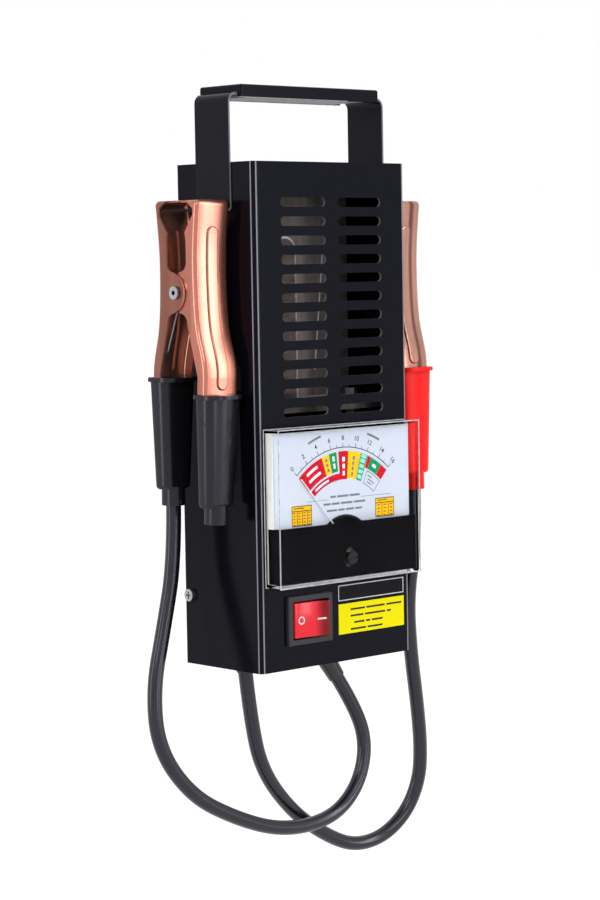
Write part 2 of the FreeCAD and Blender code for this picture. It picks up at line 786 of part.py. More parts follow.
def bead(shift, narrower, tilt, drop):
    """The rib along the jaw's back down to its sleeve, as high as the back moved outwards by shift."""
    edges, last = back_edges(shift, tilt, drop)
    top = web_points(shift)[0]
    far = Vector(0, -size("tip_half"), 0)
    ribs = across(edges + chain([last, Vector(0, far.y, last.z), Vector(0, far.y, top.z), top]),
                  size("clamp_width"))
    radius = size("bead_width") / 2 - narrower
    high = size("bead_rise") - size("bead_width") / 2
    low = -drop + size("bead_gap") + size("bead_width") / 2
    corners = [Vector(side * radius, 0, z) for side, z in ((-1, low), (-1, high), (1, high), (1, low))]
    slot_edges = chain(corners[:2]) + chain(corners[2:])
    slot_edges.append(Part.Arc(corners[1], Vector(0, 0, high + radius), corners[2]).toShape())
    slot_edges.append(Part.Arc(corners[3], Vector(0, 0, low - radius), corners[0]).toShape())
    prism = Part.Face(Part.Wire(Part.__sortEdges__(slot_edges))).extrude(Y_AXIS * (2 * size("handle_half")))
    prism.translate(Y_AXIS * (size("tip_inner")))
    return ribs.common(prism)


def jaw(tilt, drop):
    """One pressed jaw half, with its handle reaching into a sleeve that starts at a depth below the pivot."""
    width = size("clamp_width")
    thick = size("jaw_sheet")
    end = drop + size("handle_insert")
    edges, last = back_edges(0, tilt, end)
    way = handle_way(tilt)
    inward = Vector(0, way.z, -way.y) * size("handle_flange")
    notch_y = size("lug_width") / 2 + size("notch_play")
    notch_top = size("pivot_drop") + size("strap_sheet") / 2 + size("jaw_play")
    notch_low = size("pivot_drop") - size("strap_sheet") / 2 - size("notch_slack")

    def at(y, z):
        return Vector(0, y, z)
    ear, root = size("ear_radius"), size("ear_root")
    ear_middle = at(size("ear_inset"), 0)
    root_y = size("flange_edge") - root
    root_z = math.sqrt((ear + root) ** 2 - (root_y - ear_middle.y) ** 2)
    arcs = []
    for level in (-root_z, root_z):
        root_middle = at(root_y, level)
        outward = (root_middle - ear_middle).normalize()
        meeting = ear_middle + outward * ear
        bulge = root_middle + (Y_AXIS - outward).normalize() * root
        arcs.append((at(size("flange_edge"), level), bulge, meeting))
    edges += chain([last, last + inward, web_points(0)[-1] + inward, arcs[0][0]])
    edges += [Part.Arc(*points).toShape() for points in arcs]
    edges.append(Part.Arc(arcs[0][2], ear_middle - Y_AXIS * ear, arcs[1][2]).toShape())
    edges += chain([arcs[1][0], at(size("flange_edge"), size("tooth_root")),
                    at(size("tooth_half"), size("tooth_rise")), at(notch_y, notch_low), at(notch_y, notch_top),
                    at(size("tip_inner"), size("tip_rise")), web_points(0)[0]])
    outer = rounded(across(edges, width), size("jaw_bend"), size("tip_rise"), width / 2)
    inner_edges, inner_last = back_edges(-thick, tilt, end + size("handle_flange"))
    far = -size("tip_half")
    inner_top = size("tip_rise") - thick
    inner_edges += chain([inner_last, at(far, inner_last.z), at(far, size("tip_rise")), web_points(-thick)[0]])
    hollow = across(inner_edges, width - 2 * thick)
    room = Part.makeBox(width, 2 * (size("tip_half") + size("handle_half")), inner_top + 2 * end,
                        Vector(-width / 2, -size("tip_half") - size("handle_half"), -2 * end))
    hollow = rounded(hollow.common(room), size("jaw_bend") - thick, inner_top, width / 2 - thick)
    rib = bead(size("bead_height"), 0, tilt, drop)
    crest = [edge for edge in rib.Edges if edge.BoundBox.YMin > size("tip_inner") + size("bead_height")]
    lip_half = width / 2 - size("jaw_bend")
    lip = Part.makeBox(2 * lip_half, size("tip_half") - size("jaw_bend") - size("lip_gap"), thick,
                       Vector(-lip_half, size("lip_gap"), inner_top))
    pressed = outer.fuse([rib.makeFillet(size("bead_round"), crest), lip])
    hollow = hollow.fuse(bead(size("bead_height") - thick, thick / 2, tilt, drop))
    bore = Part.makeCylinder(size("rivet_radius") + size("pivot_play"), 2 * width, Vector(-width, 0, 0), X_AXIS)
    return pressed.cut(hollow).cut(bore).removeSplitter()


def rounded_section(half_x, half_y, radius, z):
    """A rounded rectangle as a closed wire at a height."""
    corners = [(half_x, half_y), (-half_x, half_y), (-half_x, -half_y), (half_x, -half_y)]
    edges = []
    arcs = []
    for index, (x, y) in enumerate(corners):
        centre = Vector(math.copysign(half_x - radius, x), math.copysign(half_y - radius, y), z)
        start = math.pi / 2 * index
        ring = [centre + Vector(math.cos(start + turn), math.sin(start + turn), 0) * radius
                for turn in (0, math.pi / 4, math.pi / 2)]
        arcs.append(ring)
    for ring, following in zip(arcs, arcs[1:] + arcs[:1]):
        edges.append(Part.Arc(*ring).toShape())
        edges.append(Part.LineSegment(ring[2], following[0]).toShape())
    return Part.Wire(edges)


def sleeve(tilt, drop, open_nozzle):
    """A moulded sleeve on a jaw's handle: a rim, a tapered body and a round nozzle."""
    width = size("clamp_width")
    top_half = width / 2 + size("sleeve_wall") + size("sleeve_play")
    depth = size("sleeve_depth") / 2
    length = size("sleeve_length")
    rim = size("sleeve_rim")
    body = Part.makeLoft([rounded_section(top_half, depth, size("sleeve_round"), 0),
                          rounded_section(size("sleeve_end_width") / 2, size("sleeve_end_depth") / 2,
                                          size("sleeve_round"), -length)], True, True)
    foot = [edge for edge in body.Edges if near(edge.BoundBox.ZMax, -length)]
    body = body.makeFillet(size("sleeve_foot_round"), foot)
    collar = Part.Face(rounded_section(size("sleeve_rim_width") / 2, depth + rim, size("sleeve_round") + rim, 0))
    collar = collar.extrude(Z_AXIS * -size("sleeve_rim_height"))
    nozzle = Part.makeCylinder(size("nozzle_radius"), size("nozzle_length") + size("sleeve_wall"),
                               Vector(0, 0, -length + size("sleeve_wall")), -Z_AXIS)
    whole = body.fuse([collar, nozzle])
    room_x = width + 2 * size("sleeve_play")
    room_y = size("handle_flange") + 2 * size("sleeve_play")
    pocket_depth = size("handle_insert") + size("sleeve_play")
    whole = whole.cut(Part.makeBox(room_x, room_y, pocket_depth, Vector(-room_x / 2, -room_y / 2, -pocket_depth)))
    if open_nozzle:
        bore_depth = size("nozzle_length") + size("sleeve_depth")
        whole = whole.cut(Part.makeCylinder(size("nozzle_bore"), bore_depth,
                                            Vector(0, 0, -length - size("nozzle_length")), Z_AXIS))
    whole = whole.removeSplitter()
    whole.Placement = FreeCAD.Placement(handle_axis(tilt, drop), Rotation(X_AXIS, -tilt))
    return whole


def clamp_spring():
    """A wound spring round the rivet with a straight leg inside each handle."""
    radius = size("spring_radius")
    foot = Vector(0, -size("spring_spread"), -size("spring_leg"))
    first = math.atan2(foot.z, foot.y) - math.acos(radius / foot.Length) + 2 * math.pi
    sweep = 2 * (first - math.pi / 2) + 2 * math.pi * size("spring_turns")
    rise = -size("spring_pitch") / (2 * math.pi)
    parts = math.ceil(sweep / (math.pi / 2))

    def place(turned):
        angle = first - turned
        return Vector(rise * (turned - sweep / 2), radius * math.cos(angle), radius * math.sin(angle))

    def way(turned):
        angle = first - turned
        return Vector(rise, radius * math.sin(angle), -radius * math.cos(angle)).normalize()
    stations = [sweep * i / parts for i in range(parts + 1)]
    start = place(0) - way(0) * size("spring_leg")
    end = place(sweep) + way(sweep) * size("spring_leg")
    edges = [Part.LineSegment(start, place(0)).toShape()]
    for one, other in zip(stations, stations[1:]):
        edges += biarc(place(one), way(one), place(other), way(other))
    edges.append(Part.LineSegment(place(sweep), end).toShape())
    section = Part.Wire([Part.Circle(start, way(0), size("spring_wire") / 2).toShape()])
    print("clamp spring: least gap between turns %.2f mm" % (size("spring_pitch") - size("spring_wire")))
    return Part.Wire(edges).makePipeShell([section], True, False)


def clamp_rivet():
    """A hollow rivet through both jaws, with a spread head at each side."""
    reach = size("clamp_width") / 2 + side_shift + size("jaw_play")
    shank = Part.makeCylinder(size("rivet_radius"), 2 * reach, Vector(-reach, 0, 0), X_AXIS)
    heads = [Part.makeCylinder(size("rivet_head_radius"), size("rivet_head"), X_AXIS * (side * reach), X_AXIS * side)
             for side in (-1, 1)]
    bore = Part.makeCylinder(size("rivet_bore"), 4 * reach, Vector(-2 * reach, 0, 0), X_AXIS)
    return shank.fuse(heads).cut(bore).removeSplitter()


side_shift = (size("jaw_sheet") + size("jaw_play")) / 2
pivot_z = lug_z - size("pivot_drop")
turned_round = FreeCAD.Placement(X_AXIS * side_shift, Rotation(Z_AXIS, 180))
cable_half = [jaw(size("cable_sleeve_tilt"), size("cable_sleeve_drop")),
              sleeve(size("cable_sleeve_tilt"), size("cable_sleeve_drop"), False)]
free_half = [jaw(size("free_sleeve_tilt"), size("free_sleeve_drop")),
             sleeve(size("free_sleeve_tilt"), size("free_sleeve_drop"), True)]
for shape in cable_half:
    shape.translate(X_AXIS * -side_shift)
free_half = [shape.transformed(turned_round.toMatrix()) for shape in free_half]
clamp_pieces = (("cable_jaw", cable_half[0]), ("free_jaw", free_half[0]), ("clamp_rivet", clamp_rivet()),
                ("clamp_spring", clamp_spring()), ("cable_grip", cable_half[1]), ("free_grip", free_half[1]))
clamp_places = {}
for side, way, angle in (("left", -1, 0), ("right", 1, 180)):
    clamp_x = size("case_width") / 2 + size("clamp_gap_" + side) + size("clamp_width") / 2 + side_shift
    clamp_places[side] = FreeCAD.Placement(Vector(way * clamp_x, strap_y, pivot_z), Rotation(Z_AXIS, angle))
for side, place in clamp_places.items():
    for label, shape in clamp_pieces:
        solid_node("%s_%s" % (side, label), shape.copy(), place)

# Cables and grommets: each cable leaves its grommet under the case, loops
# below and runs up into the nozzle of its clamp's rear or front sleeve.
NEGATIVE_LOOP = ((-77.5, 18.6, 22.5), (-87, 17, -9), (-85.5, 15, -40), (-66, 12.5, -66.5), (-38.5, 10, -82),
                 (-12, 8.2, -92), (13.5, 7.2, -94), (34.5, 7, -89), (49.5, 7.4, -75), (55.5, 8.6, -55.5),
                 (50, 10.4, -36))
POSITIVE_LOOP = ((68, -12.5, 25), (75, -7.5, -6), (85, -2, -36), (92, 2.5, -61.5), (94, 6, -81.5),
                 (86.5, 9.2, -99.5), (70.8, 12.2, -111), (51.5, 15, -113), (32, 17.4, -104), (8, 18, -87),
                 (-14, 16.6, -61.5), (-22.3, 15.3, -33))
NOZZLE_RUN = 29.5
BOOT_LENGTHS = {"left": 6.3, "right": 20.0}
nozzle_way = handle_way(size("cable_sleeve_tilt"))
nozzle_end = handle_axis(size("cable_sleeve_tilt"), size("cable_sleeve_drop"))
nozzle_end += nozzle_way * (size("sleeve_length") + size("nozzle_length")) - X_AXIS * side_shift
for label, clamp, outlet, loop in (("cable_negative", "left", "right", NEGATIVE_LOOP),
                                   ("cable_positive", "right", "left", POSITIVE_LOOP)):
    start = clamp_places[clamp].multVec(nozzle_end)
    second = clamp_places[clamp].multVec(nozzle_end + nozzle_way * NOZZLE_RUN)
    outlet_x = size("outlet_spread") / 2 * (1 if outlet == "right" else -1)
    leave = Vector(outlet_x, size("outlet_back"), 0)
    boot_way = (Vector(*loop[-1]) - leave).normalize()
    boot_tip = leave + boot_way * BOOT_LENGTHS[outlet]
    points = [start, second] + [Vector(*point) for point in loop] + [boot_tip]
    solid_node(label, tube(points, size("cable_radius"), label))
    neck = size("grommet_neck") - size("grommet_play")
    rings = [Part.makeCylinder(size("grommet_radius"), size("grommet_flange"), leave, -Z_AXIS),
             Part.makeCylinder(neck, size("case_sheet") + size("grommet_play"), leave, Z_AXIS),
             Part.makeCylinder(size("grommet_radius"), size("grommet_inside"),
                               leave + Z_AXIS * (size("case_sheet")), Z_AXIS)]
    boot = Part.makeCone(size("boot_radius"), size("boot_tip_radius"), BOOT_LENGTHS[outlet], leave, boot_way)
    boot = boot.cut(Part.makeCylinder(2 * size("grommet_radius"), size("grommet_radius"), leave, Z_AXIS))
    solid_node("grommet_" + outlet, boot.fuse(rings).removeSplitter())

# Meter base: a moulded tray on the panel with a round can behind it.
panel_y = "-case_depth / 2"
tray_half_x = "(meter_width / 2 - meter_wall - meter_play)"
tray_half_z = "(meter_height / 2 - meter_wall - meter_play)"
tray = block("tray", ("-" + tray_half_x, tray_half_x), (panel_y + " - base_proud", panel_y),
             ("meter_rise - " + tray_half_z, "meter_rise + " + tray_half_z))
can = rod("can", "can_radius", "can_depth", ("0", panel_y, can_z), "y")
can_hollow = rod("can_hollow", "can_radius - can_wall", "can_depth - can_wall + base_proud * 2",
                 ("0", panel_y + " - base_proud * 2", can_z), "y")
node("meter_base", cut("meter_base", fuse("meter_mould", [tray, can]), [can_hollow]))

# Meter cover: a clear moulded box over the dial, open to the panel.
zero_z = METER_FOOT + " + zero_rise"
meter_cover = document.addObject("PartDesign::Body", "meter_cover")
lens_outline = new_sketch(meter_cover, "XZ_Plane", "lens_outline", "case_depth / 2")
rectangle(lens_outline, ("-meter_width / 2", "meter_width / 2"),
          ("meter_rise - meter_height / 2", "meter_rise + meter_height / 2"))
lens_block = pad(meter_cover, "lens_block", lens_outline, "meter_proud")
settle()
lens_front = lens_block.Shape.BoundBox.YMin
lens_rounds = meter_cover.newObject("PartDesign::Fillet", "lens_rounds")
lens_rounds.Base = (lens_block, edge_names(lens_block.Shape, lambda edge: near(edge.BoundBox.YMin, lens_front)))
tie(lens_rounds, Radius="meter_round")
settle()
lens_room = new_sketch(meter_cover, "XZ_Plane", "lens_room", "case_depth / 2")
rectangle(lens_room, ("-meter_width / 2 + meter_wall", "meter_width / 2 - meter_wall"),
          ("meter_rise - meter_height / 2 + meter_wall", "meter_rise + meter_height / 2 - meter_wall"))
pocket(meter_cover, "lens_hollow", lens_room, "meter_proud - meter_wall", reverse=True)
zero_sight = new_sketch(meter_cover, "XZ_Plane", "zero_sight", "case_depth / 2 + meter_proud")
circle(zero_sight, "0", zero_z, "zero_radius + zero_play")
pocket(meter_cover, "zero_hole", zero_sight, "meter_wall * 2")
node("meter_cover", meter_cover)

# Meter mask: a black channel inside the cover's foot that hides the movement.
lens_y = "(-case_depth / 2 - meter_proud + meter_wall)"
dial_y = "(-case_depth / 2 - base_proud - dial_sheet)"
mask_low = "meter_rise - " + tray_half_z
mask_high = METER_FOOT + " + mask_height"
mask_outer = block("mask_outer", ("-" + tray_half_x, tray_half_x),
                   (lens_y + " + meter_play", dial_y + " - meter_play"), (mask_low, mask_high))
mask_inner = block("mask_inner", ("-%s + mask_wall" % tray_half_x, "%s - mask_wall" % tray_half_x),
                   (lens_y + " + meter_play + mask_wall", "0"), (mask_low + " + mask_wall", mask_high + " + mask_wall"))
mask_hole = rod("mask_hole", "zero_flange_radius + meter_play * 2", "mask_wall * 4",
                ("0", lens_y + " - mask_wall", zero_z), "y")
node("meter_mask", cut("meter_mask", mask_outer, [mask_inner, mask_hole]))

# Dial plate: a thin printed plate on the tray, with a window for the movement.
axis_z = METER_FOOT + " + axis_rise"
dial_plate = document.addObject("PartDesign::Body", "dial_plate")
dial_outline = new_sketch(dial_plate, "XZ_Plane", "dial_outline", "case_depth / 2 + base_proud")
dial_half_x = "(%s - dial_inset)" % tray_half_x
dial_half_z = "(%s - dial_inset)" % tray_half_z
rectangle(dial_outline, ("-" + dial_half_x, dial_half_x),
          ("meter_rise - " + dial_half_z, "meter_rise + " + dial_half_z))
circle(dial_outline, "0", axis_z, "dial_window")
pad(dial_plate, "dial_sheet_pad", dial_outline, "dial_sheet")
node("dial_plate", dial_plate)

# Zero screw: a slotted button in the cover's foot whose pin shifts the pointer's rest.
zero_face = "-case_depth / 2 - meter_proud - zero_proud"
button = rod("button", "zero_radius", "meter_wall + zero_proud", ("0", zero_face, zero_z), "y")
flange_y = lens_y + " + meter_play"
button_flange = rod("button_flange", "zero_flange_radius", "zero_flange", ("0", flange_y, zero_z), "y")
button_link = rod("button_link", "zero_radius", "meter_play * 2 + zero_flange / 2",
                  ("0", lens_y + " - meter_play", zero_z), "y")
button_pin = rod("button_pin", "zero_pin_radius", "zero_pin_length",
                 ("0", flange_y + " + zero_flange", zero_z + " + zero_pin_offset"), "y")
button_slot = block("button_slot", ("-zero_radius * 2", "zero_radius * 2"),
                    (zero_face + " - zero_slot_depth", zero_face + " + zero_slot_depth"),
                    (zero_z + " - zero_slot_width / 2", zero_z + " + zero_slot_width / 2"))
button_blank = fuse("button_blank", [button, button_link, button_flange, button_pin])
node("zero_screw", cut("zero_screw", button_blank, [button_slot]))

# Meter movement: yoke ring with posts to the can's floor, core held in it by
# two lugs, front and rear bridges, and the coil and pointer that turn between
# them. Everything is drawn about the pointer's axis, and the coil and pointer
# are then turned to their rest at the scale's left end.
movement_y = "-case_depth / 2 + movement_depth"


def on_axis(label, piece, turned):
    """Puts a piece drawn about the pointer's axis in its place in the meter."""
    piece.Label = label
    if turned:
        piece.Placement = FreeCAD.Placement(Vector(), Rotation(-Y_AXIS, size("pointer_sweep") / 2))
        tie(piece, Placement__Rotation__Angle="pointer_sweep / 2")
    tie_base(piece, "0", movement_y, "%s - (%s)" % (axis_z, DROP))
    nodes.append(piece)


yoke_ring = rod("yoke_ring", "yoke_radius", "yoke_length", ("0", "-yoke_length / 2", "0"), "y")
yoke_bore = rod("yoke_hole", "yoke_bore", "yoke_length * 2", ("0", "-yoke_length", "0"), "y")
yoke_ring = cut("yoke_cut", yoke_ring, [yoke_bore])
post_ring = "((yoke_radius + yoke_bore) / 2)"
floor_y = "(-case_depth / 2 + can_depth - can_wall - (%s))" % movement_y
yoke_posts = [rod("%s_floor_post" % side, "post_radius", floor_y + " - yoke_length / 2",
                  (sign + post_ring, "yoke_length / 2", "0"), "y") for side, sign in (("left", "-"), ("right", ""))]
on_axis("meter_yoke", fuse("meter_yoke", [yoke_ring] + yoke_posts), False)

core_bar = rod("core_bar", "core_radius", "core_length", ("0", "-core_length / 2", "0"), "y")
core_lugs = block("core_lugs", ("-core_lug / 2", "core_lug / 2"), ("-core_lug", "core_lug"),
                  ("-yoke_bore + core_play * 4", "yoke_bore - core_play * 4"))
on_axis("meter_core", fuse("meter_core", [core_bar, core_lugs]), False)

bridges = []
bar_near = "(coil_length / 2 + bridge_gap)"
for side, sign in (("front", "-"), ("rear", "")):
    low = sign + bar_near + (" - bridge_sheet" if side == "front" else "")
    bar = block(side + "_bar", ("-bridge_width / 2", "bridge_width / 2"), (low, low + " + bridge_sheet"),
                ("-%s - post_radius" % post_ring, "%s + post_radius" % post_ring))
    post_y = "-" + bar_near if side == "front" else "yoke_length / 2"
    posts = [rod("%s_%s_post" % (side, end), "post_radius", bar_near + " - yoke_length / 2",
                 ("0", post_y, way + post_ring), "y") for end, way in (("low", "-"), ("high", ""))]
    bearing = rod(side + "_bearing", "shaft_radius + shaft_play", "bridge_sheet * 4",
                  ("0", low + " - bridge_sheet", "0"), "y")
    bridges.append(cut(side + "_bridge", fuse(side + "_bridge_blank", [bar] + posts), [bearing]))
on_axis("meter_bridges", group("meter_bridges", bridges), False)

coil_outer = block("coil_outer", ("-coil_half", "coil_half"), ("-coil_length / 2", "coil_length / 2"),
                   ("-coil_thick / 2", "coil_thick / 2"))
coil_inner = block("coil_inner", ("-coil_half + coil_wire", "coil_half - coil_wire"),
                   ("-coil_length / 2 + coil_wire", "coil_length / 2 - coil_wire"), ("-coil_thick", "coil_thick"))
rear_shaft = rod("rear_shaft", "shaft_radius", "bridge_gap + bridge_sheet", ("0", "coil_length / 2", "0"), "y")
on_axis("moving_coil", fuse("moving_coil", [cut("coil_frame", coil_outer, [coil_inner]), rear_shaft]), True)

pointer_y = "(-case_depth / 2 - base_proud - dial_sheet - pointer_gap - (%s))" % movement_y
arm = block("pointer_arm", ("-pointer_width / 2", "pointer_width / 2"),
            (pointer_y + " - pointer_sheet", pointer_y), ("-pointer_tail", "pointer_length"))
tail = block("pointer_tail_bar", ("-pointer_tail / 2", "pointer_tail / 2"),
             (pointer_y + " - pointer_sheet", pointer_y), ("-pointer_tail", "-pointer_tail + pointer_width * 2"))
hub = rod("pointer_hub_disc", "pointer_hub", "pointer_sheet * 2", ("0", pointer_y + " - pointer_sheet", "0"), "y")
front_shaft = rod("front_shaft", "shaft_radius", "-coil_length / 2 - %s" % pointer_y, ("0", pointer_y, "0"), "y")
on_axis("pointer", fuse("pointer", [arm, tail, hub, front_shaft]), True)

# Meter studs behind the can, and the fixings that hold the meter to the panel.
studs = []
back_y = panel_y + " + can_depth"
for side, sign in (("left", "-"), ("right", "")):
    stud_x = sign + "terminal_spread / 2"
    stud = rod(side + "_stud", "terminal_radius", "terminal_length", (stud_x, back_y, can_z), "y")
    nut = hexagon(side + "_stud_nut", "terminal_nut_radius", "terminal_nut_height", (stud_x, back_y, can_z), "y")
    studs.append(fuse(side + "_terminal", [stud, nut]))
node("meter_studs", group("meter_studs", studs))
fixings = []
for side, sign in (("left", "-"), ("right", "")):
    for level, way in (("low", "-"), ("high", "+")):
        label = "%s_%s" % (side, level)
        fixing_x = sign + "stud_spread_x / 2"
        fixing_z = "meter_rise %s stud_spread_z / 2" % way
        bolt = rod(label + "_fixing", "stud_radius", "stud_length", (fixing_x, panel_y, fixing_z), "y")
        nut = hexagon(label + "_nut", "nut_radius", "nut_height", (fixing_x, panel_y + " + case_sheet", fixing_z), "y")
        fixings.append(fuse(label + "_fixing_set", [bolt, nut]))
node("meter_fixings", group("meter_fixings", fixings))

# Load switch: a snap-in housing with a well, and a rocker on two trunnions.
switch_housing = document.addObject("PartDesign::Body", "switch_housing")
bezel_outline = new_sketch(switch_housing, "XZ_Plane", "bezel_outline", "case_depth / 2")
rectangle(bezel_outline, ("-switch_offset - switch_width / 2", "-switch_offset + switch_width / 2"),
          ("switch_rise - switch_height / 2", "switch_rise + switch_height / 2"))
bezel_block = pad(switch_housing, "bezel_block", bezel_outline, "switch_bezel")
settle()
bezel_front = bezel_block.Shape.BoundBox.YMin
bezel_rounds = switch_housing.newObject("PartDesign::Fillet", "bezel_rounds")
bezel_rounds.Base = (bezel_block, edge_names(bezel_block.Shape, lambda edge: near(edge.BoundBox.YMin, bezel_front)))
tie(bezel_rounds, Radius="switch_bezel_round")
body_outline = new_sketch(switch_housing, "XZ_Plane", "body_outline", "case_depth / 2")
rectangle(body_outline, ("-switch_offset - " + SWITCH_HALF_WIDTH, "-switch_offset + " + SWITCH_HALF_WIDTH),
          ("switch_rise - " + SWITCH_HALF_HEIGHT, "switch_rise + " + SWITCH_HALF_HEIGHT))
switch_body = pad(switch_housing, "switch_body", body_outline, "switch_body_depth")
switch_body.Reversed = True
settle()
well_outline = new_sketch(switch_housing, "XZ_Plane", "well_outline", "case_depth / 2 + switch_bezel")
well_x = "(%s + rocker_play)" % ROCKER_REACH
well_z = "(rocker_height / 2 + rocker_play)"
rectangle(well_outline, ("-switch_offset - " + well_x, "-switch_offset + " + well_x),
          ("switch_rise - " + well_z, "switch_rise + " + well_z))
pocket(switch_housing, "switch_well", well_outline, "switch_well_depth")
bearing_row = new_sketch(switch_housing, "XY_Plane", "bearing_row", "switch_rise")
rocker_axis_y = "-case_depth / 2 - switch_bezel - rocker_proud + rocker_pivot_depth * cos(rocker_angle / 2 * 1 deg)"
circle(bearing_row, "-switch_offset", rocker_axis_y, "trunnion_radius + trunnion_play")
pocket(switch_housing, "bearings", bearing_row,
       "rocker_height + 2 * trunnion_length + 4 * trunnion_play", symmetric=True)
node("switch_housing", switch_housing)

half_angle = math.radians(size("rocker_angle") / 2)
rocker_half = size("rocker_half")
apex = size("rocker_pivot_depth")
end_x = rocker_half * math.cos(half_angle)
end_y = -apex - rocker_half * math.sin(half_angle)
foot_x = size("rocker_foot_width") / 2
foot_y = size("rocker_foot_depth")
skirt_y = end_y + size("rocker_skirt")
rocker_points = [Vector(x, y, 0) for x, y in ((-end_x, end_y), (0, -apex), (end_x, end_y), (end_x, skirt_y),
                                              (foot_x, foot_y), (-foot_x, foot_y), (-end_x, skirt_y))]
rocker_face = Part.Face(Part.Wire(chain(rocker_points + rocker_points[:1])))
rocker = rocker_face.extrude(Z_AXIS * size("rocker_height"))
rocker.translate(Z_AXIS * (-size("rocker_height") / 2))
pin_reach = size("rocker_height") / 2 + size("trunnion_length")
rocker = rocker.fuse(Part.makeCylinder(size("trunnion_radius"), 2 * pin_reach, Z_AXIS * -pin_reach, Z_AXIS))
rocker_y = -size("case_depth") / 2 - size("switch_bezel") - size("rocker_proud") + apex * math.cos(half_angle)
rocker_place = FreeCAD.Placement(Vector(-size("switch_offset"), rocker_y, size("switch_rise")),
                                 Rotation(Z_AXIS, -size("rocker_angle") / 2))
solid_node("switch_rocker", rocker.removeSplitter(), rocker_place)

blades = []
blade_y = panel_y + " + switch_body_depth"
for side, sign in (("left", "-"), ("right", "+")):
    blade_x = "-switch_offset %s blade_spread / 2" % sign
    blades.append(block(side + "_blade", (blade_x + " - blade_width / 2", blade_x + " + blade_width / 2"),
                        (blade_y, blade_y + " + blade_length"),
                        ("switch_rise - blade_sheet / 2", "switch_rise + blade_sheet / 2")))
node("switch_terminals", group("switch_terminals", blades))

# Load element: a bent ribbon that stands behind the left slots on an
# insulating shelf, bolted at both feet, with a heat shield behind it.
ribbon_y = (size("ribbon_width") / 2) - size("ribbon_front")
shelf_top = size("shelf_rise") + size("shelf_sheet")
foot_z = shelf_top + size("ribbon_sheet") / 2
ribbon_top = shelf_top + size("ribbon_rise")
leg_middle = -size("slot_spread") / 2
left_leg = leg_middle - size("ribbon_gap") / 2
right_leg = leg_middle + size("ribbon_gap") / 2
left_foot = left_leg - size("ribbon_foot")
bolt_x = -left_leg + size("ribbon_foot") / 2
ribbon_line = [Vector(x, ribbon_y, z) for x, z in ((left_foot, foot_z), (left_leg, foot_z), (left_leg, ribbon_top),
                                                   (right_leg, ribbon_top), (right_leg, foot_z), (-left_foot, foot_z))]
ribbon = bent_sheet(ribbon_line, (size("foot_bend"), size("ribbon_bend"), size("ribbon_bend"), size("foot_bend")),
                    size("ribbon_sheet"), size("ribbon_width"), Y_AXIS)
shelf_half = size("shelf_edge") - left_foot
shelf_back = size("case_depth") / 2 - size("case_sheet")
shelf = Part.makeBox(2 * shelf_half, shelf_back + size("shelf_front"), size("shelf_sheet"),
                     Vector(-shelf_half, -size("shelf_front"), size("shelf_rise")))
hole_radius = size("bolt_radius") + size("bolt_play")
bolts = []
for side in (-1, 1):
    foot_point = Vector(side * bolt_x, ribbon_y, size("shelf_rise"))
    stack = size("shelf_sheet") + size("ribbon_sheet")
    drill = Part.makeCylinder(hole_radius, 2 * stack, foot_point - Z_AXIS * size("shelf_sheet"), Z_AXIS)
    ribbon = ribbon.cut(drill)
    shelf = shelf.cut(drill)
    shank = Part.makeCylinder(size("bolt_radius"), stack + size("bolt_tail"), foot_point - Z_AXIS * size("bolt_tail"),
                              Z_AXIS)
    corners = [Vector(math.cos(math.pi / 3 * i), math.sin(math.pi / 3 * i), 0) * size("bolt_head_radius")
               for i in range(7)]
    hexagon_face = Part.Face(Part.Wire(chain(corners)))
    for level in (size("shelf_sheet") + size("ribbon_sheet"), -size("bolt_head_height")):
        six_sided = hexagon_face.extrude(Z_AXIS * size("bolt_head_height"))
        six_sided.translate(foot_point + Z_AXIS * level)
        shank = shank.fuse(six_sided)
    bolts.append(shank.removeSplitter())
solid_node("load_element", ribbon)
solid_node("element_board", shelf)
solid_node("element_bolts", Part.makeCompound(bolts))

shield_y = size("shield_back") + size("shield_sheet") / 2
shield_top = shelf_top + size("shield_rise") - size("shield_sheet") / 2
shield_line = [Vector(0, shield_y, shelf_top), Vector(0, shield_y, shield_top), Vector(0, shelf_back, shield_top)]
shield = bent_sheet(shield_line, (size("shield_bend"),), size("shield_sheet"), 2 * shelf_half, X_AXIS)
solid_node("heat_shield", shield)

# Inner leads: from the grommets to the load element and the switch, behind the meter.
bolt_end = size("shelf_rise") - size("bolt_tail")
blade_end = -size("case_depth") / 2 + size("switch_body_depth") + size("blade_length")
outlet = Vector(size("outlet_spread") / 2, size("outlet_back"), size("case_sheet") + size("grommet_inside"))
blade = Vector(size("blade_spread") / 2, 0, 0)
switch_back = Vector(-size("switch_offset"), blade_end, size("switch_rise"))
LEAD_RUNS = {
    "lead_positive": ((-34.8, -6, 92), (-37, 2, 64), (-37.5, 11, 40), (-31.5, 14.5, 20), (-27, 14.5, 13)),
    "lead_switch": ((34.8, -6, 92), (33, 3, 66), (20, 14, 50), (0, 18, 43), (-18, 18, 34), (-27.8, 11, 25)),
    "lead_negative": ((-13.8, 12, 25), (-2, 19, 24), (16, 17, 22), (27, 14.5, 15)),
}
lead_ends = {
    "lead_positive": (Vector(-bolt_x, ribbon_y, bolt_end), Vector(-outlet.x, outlet.y, outlet.z)),
    "lead_switch": (Vector(bolt_x, ribbon_y, bolt_end), switch_back - blade),
    "lead_negative": (switch_back + blade, outlet),
}
for label, (start, end) in lead_ends.items():
    run = [start] + [Vector(*point) for point in LEAD_RUNS[label]] + [end]
    solid_node(label, tube(run, size("lead_radius"), label))

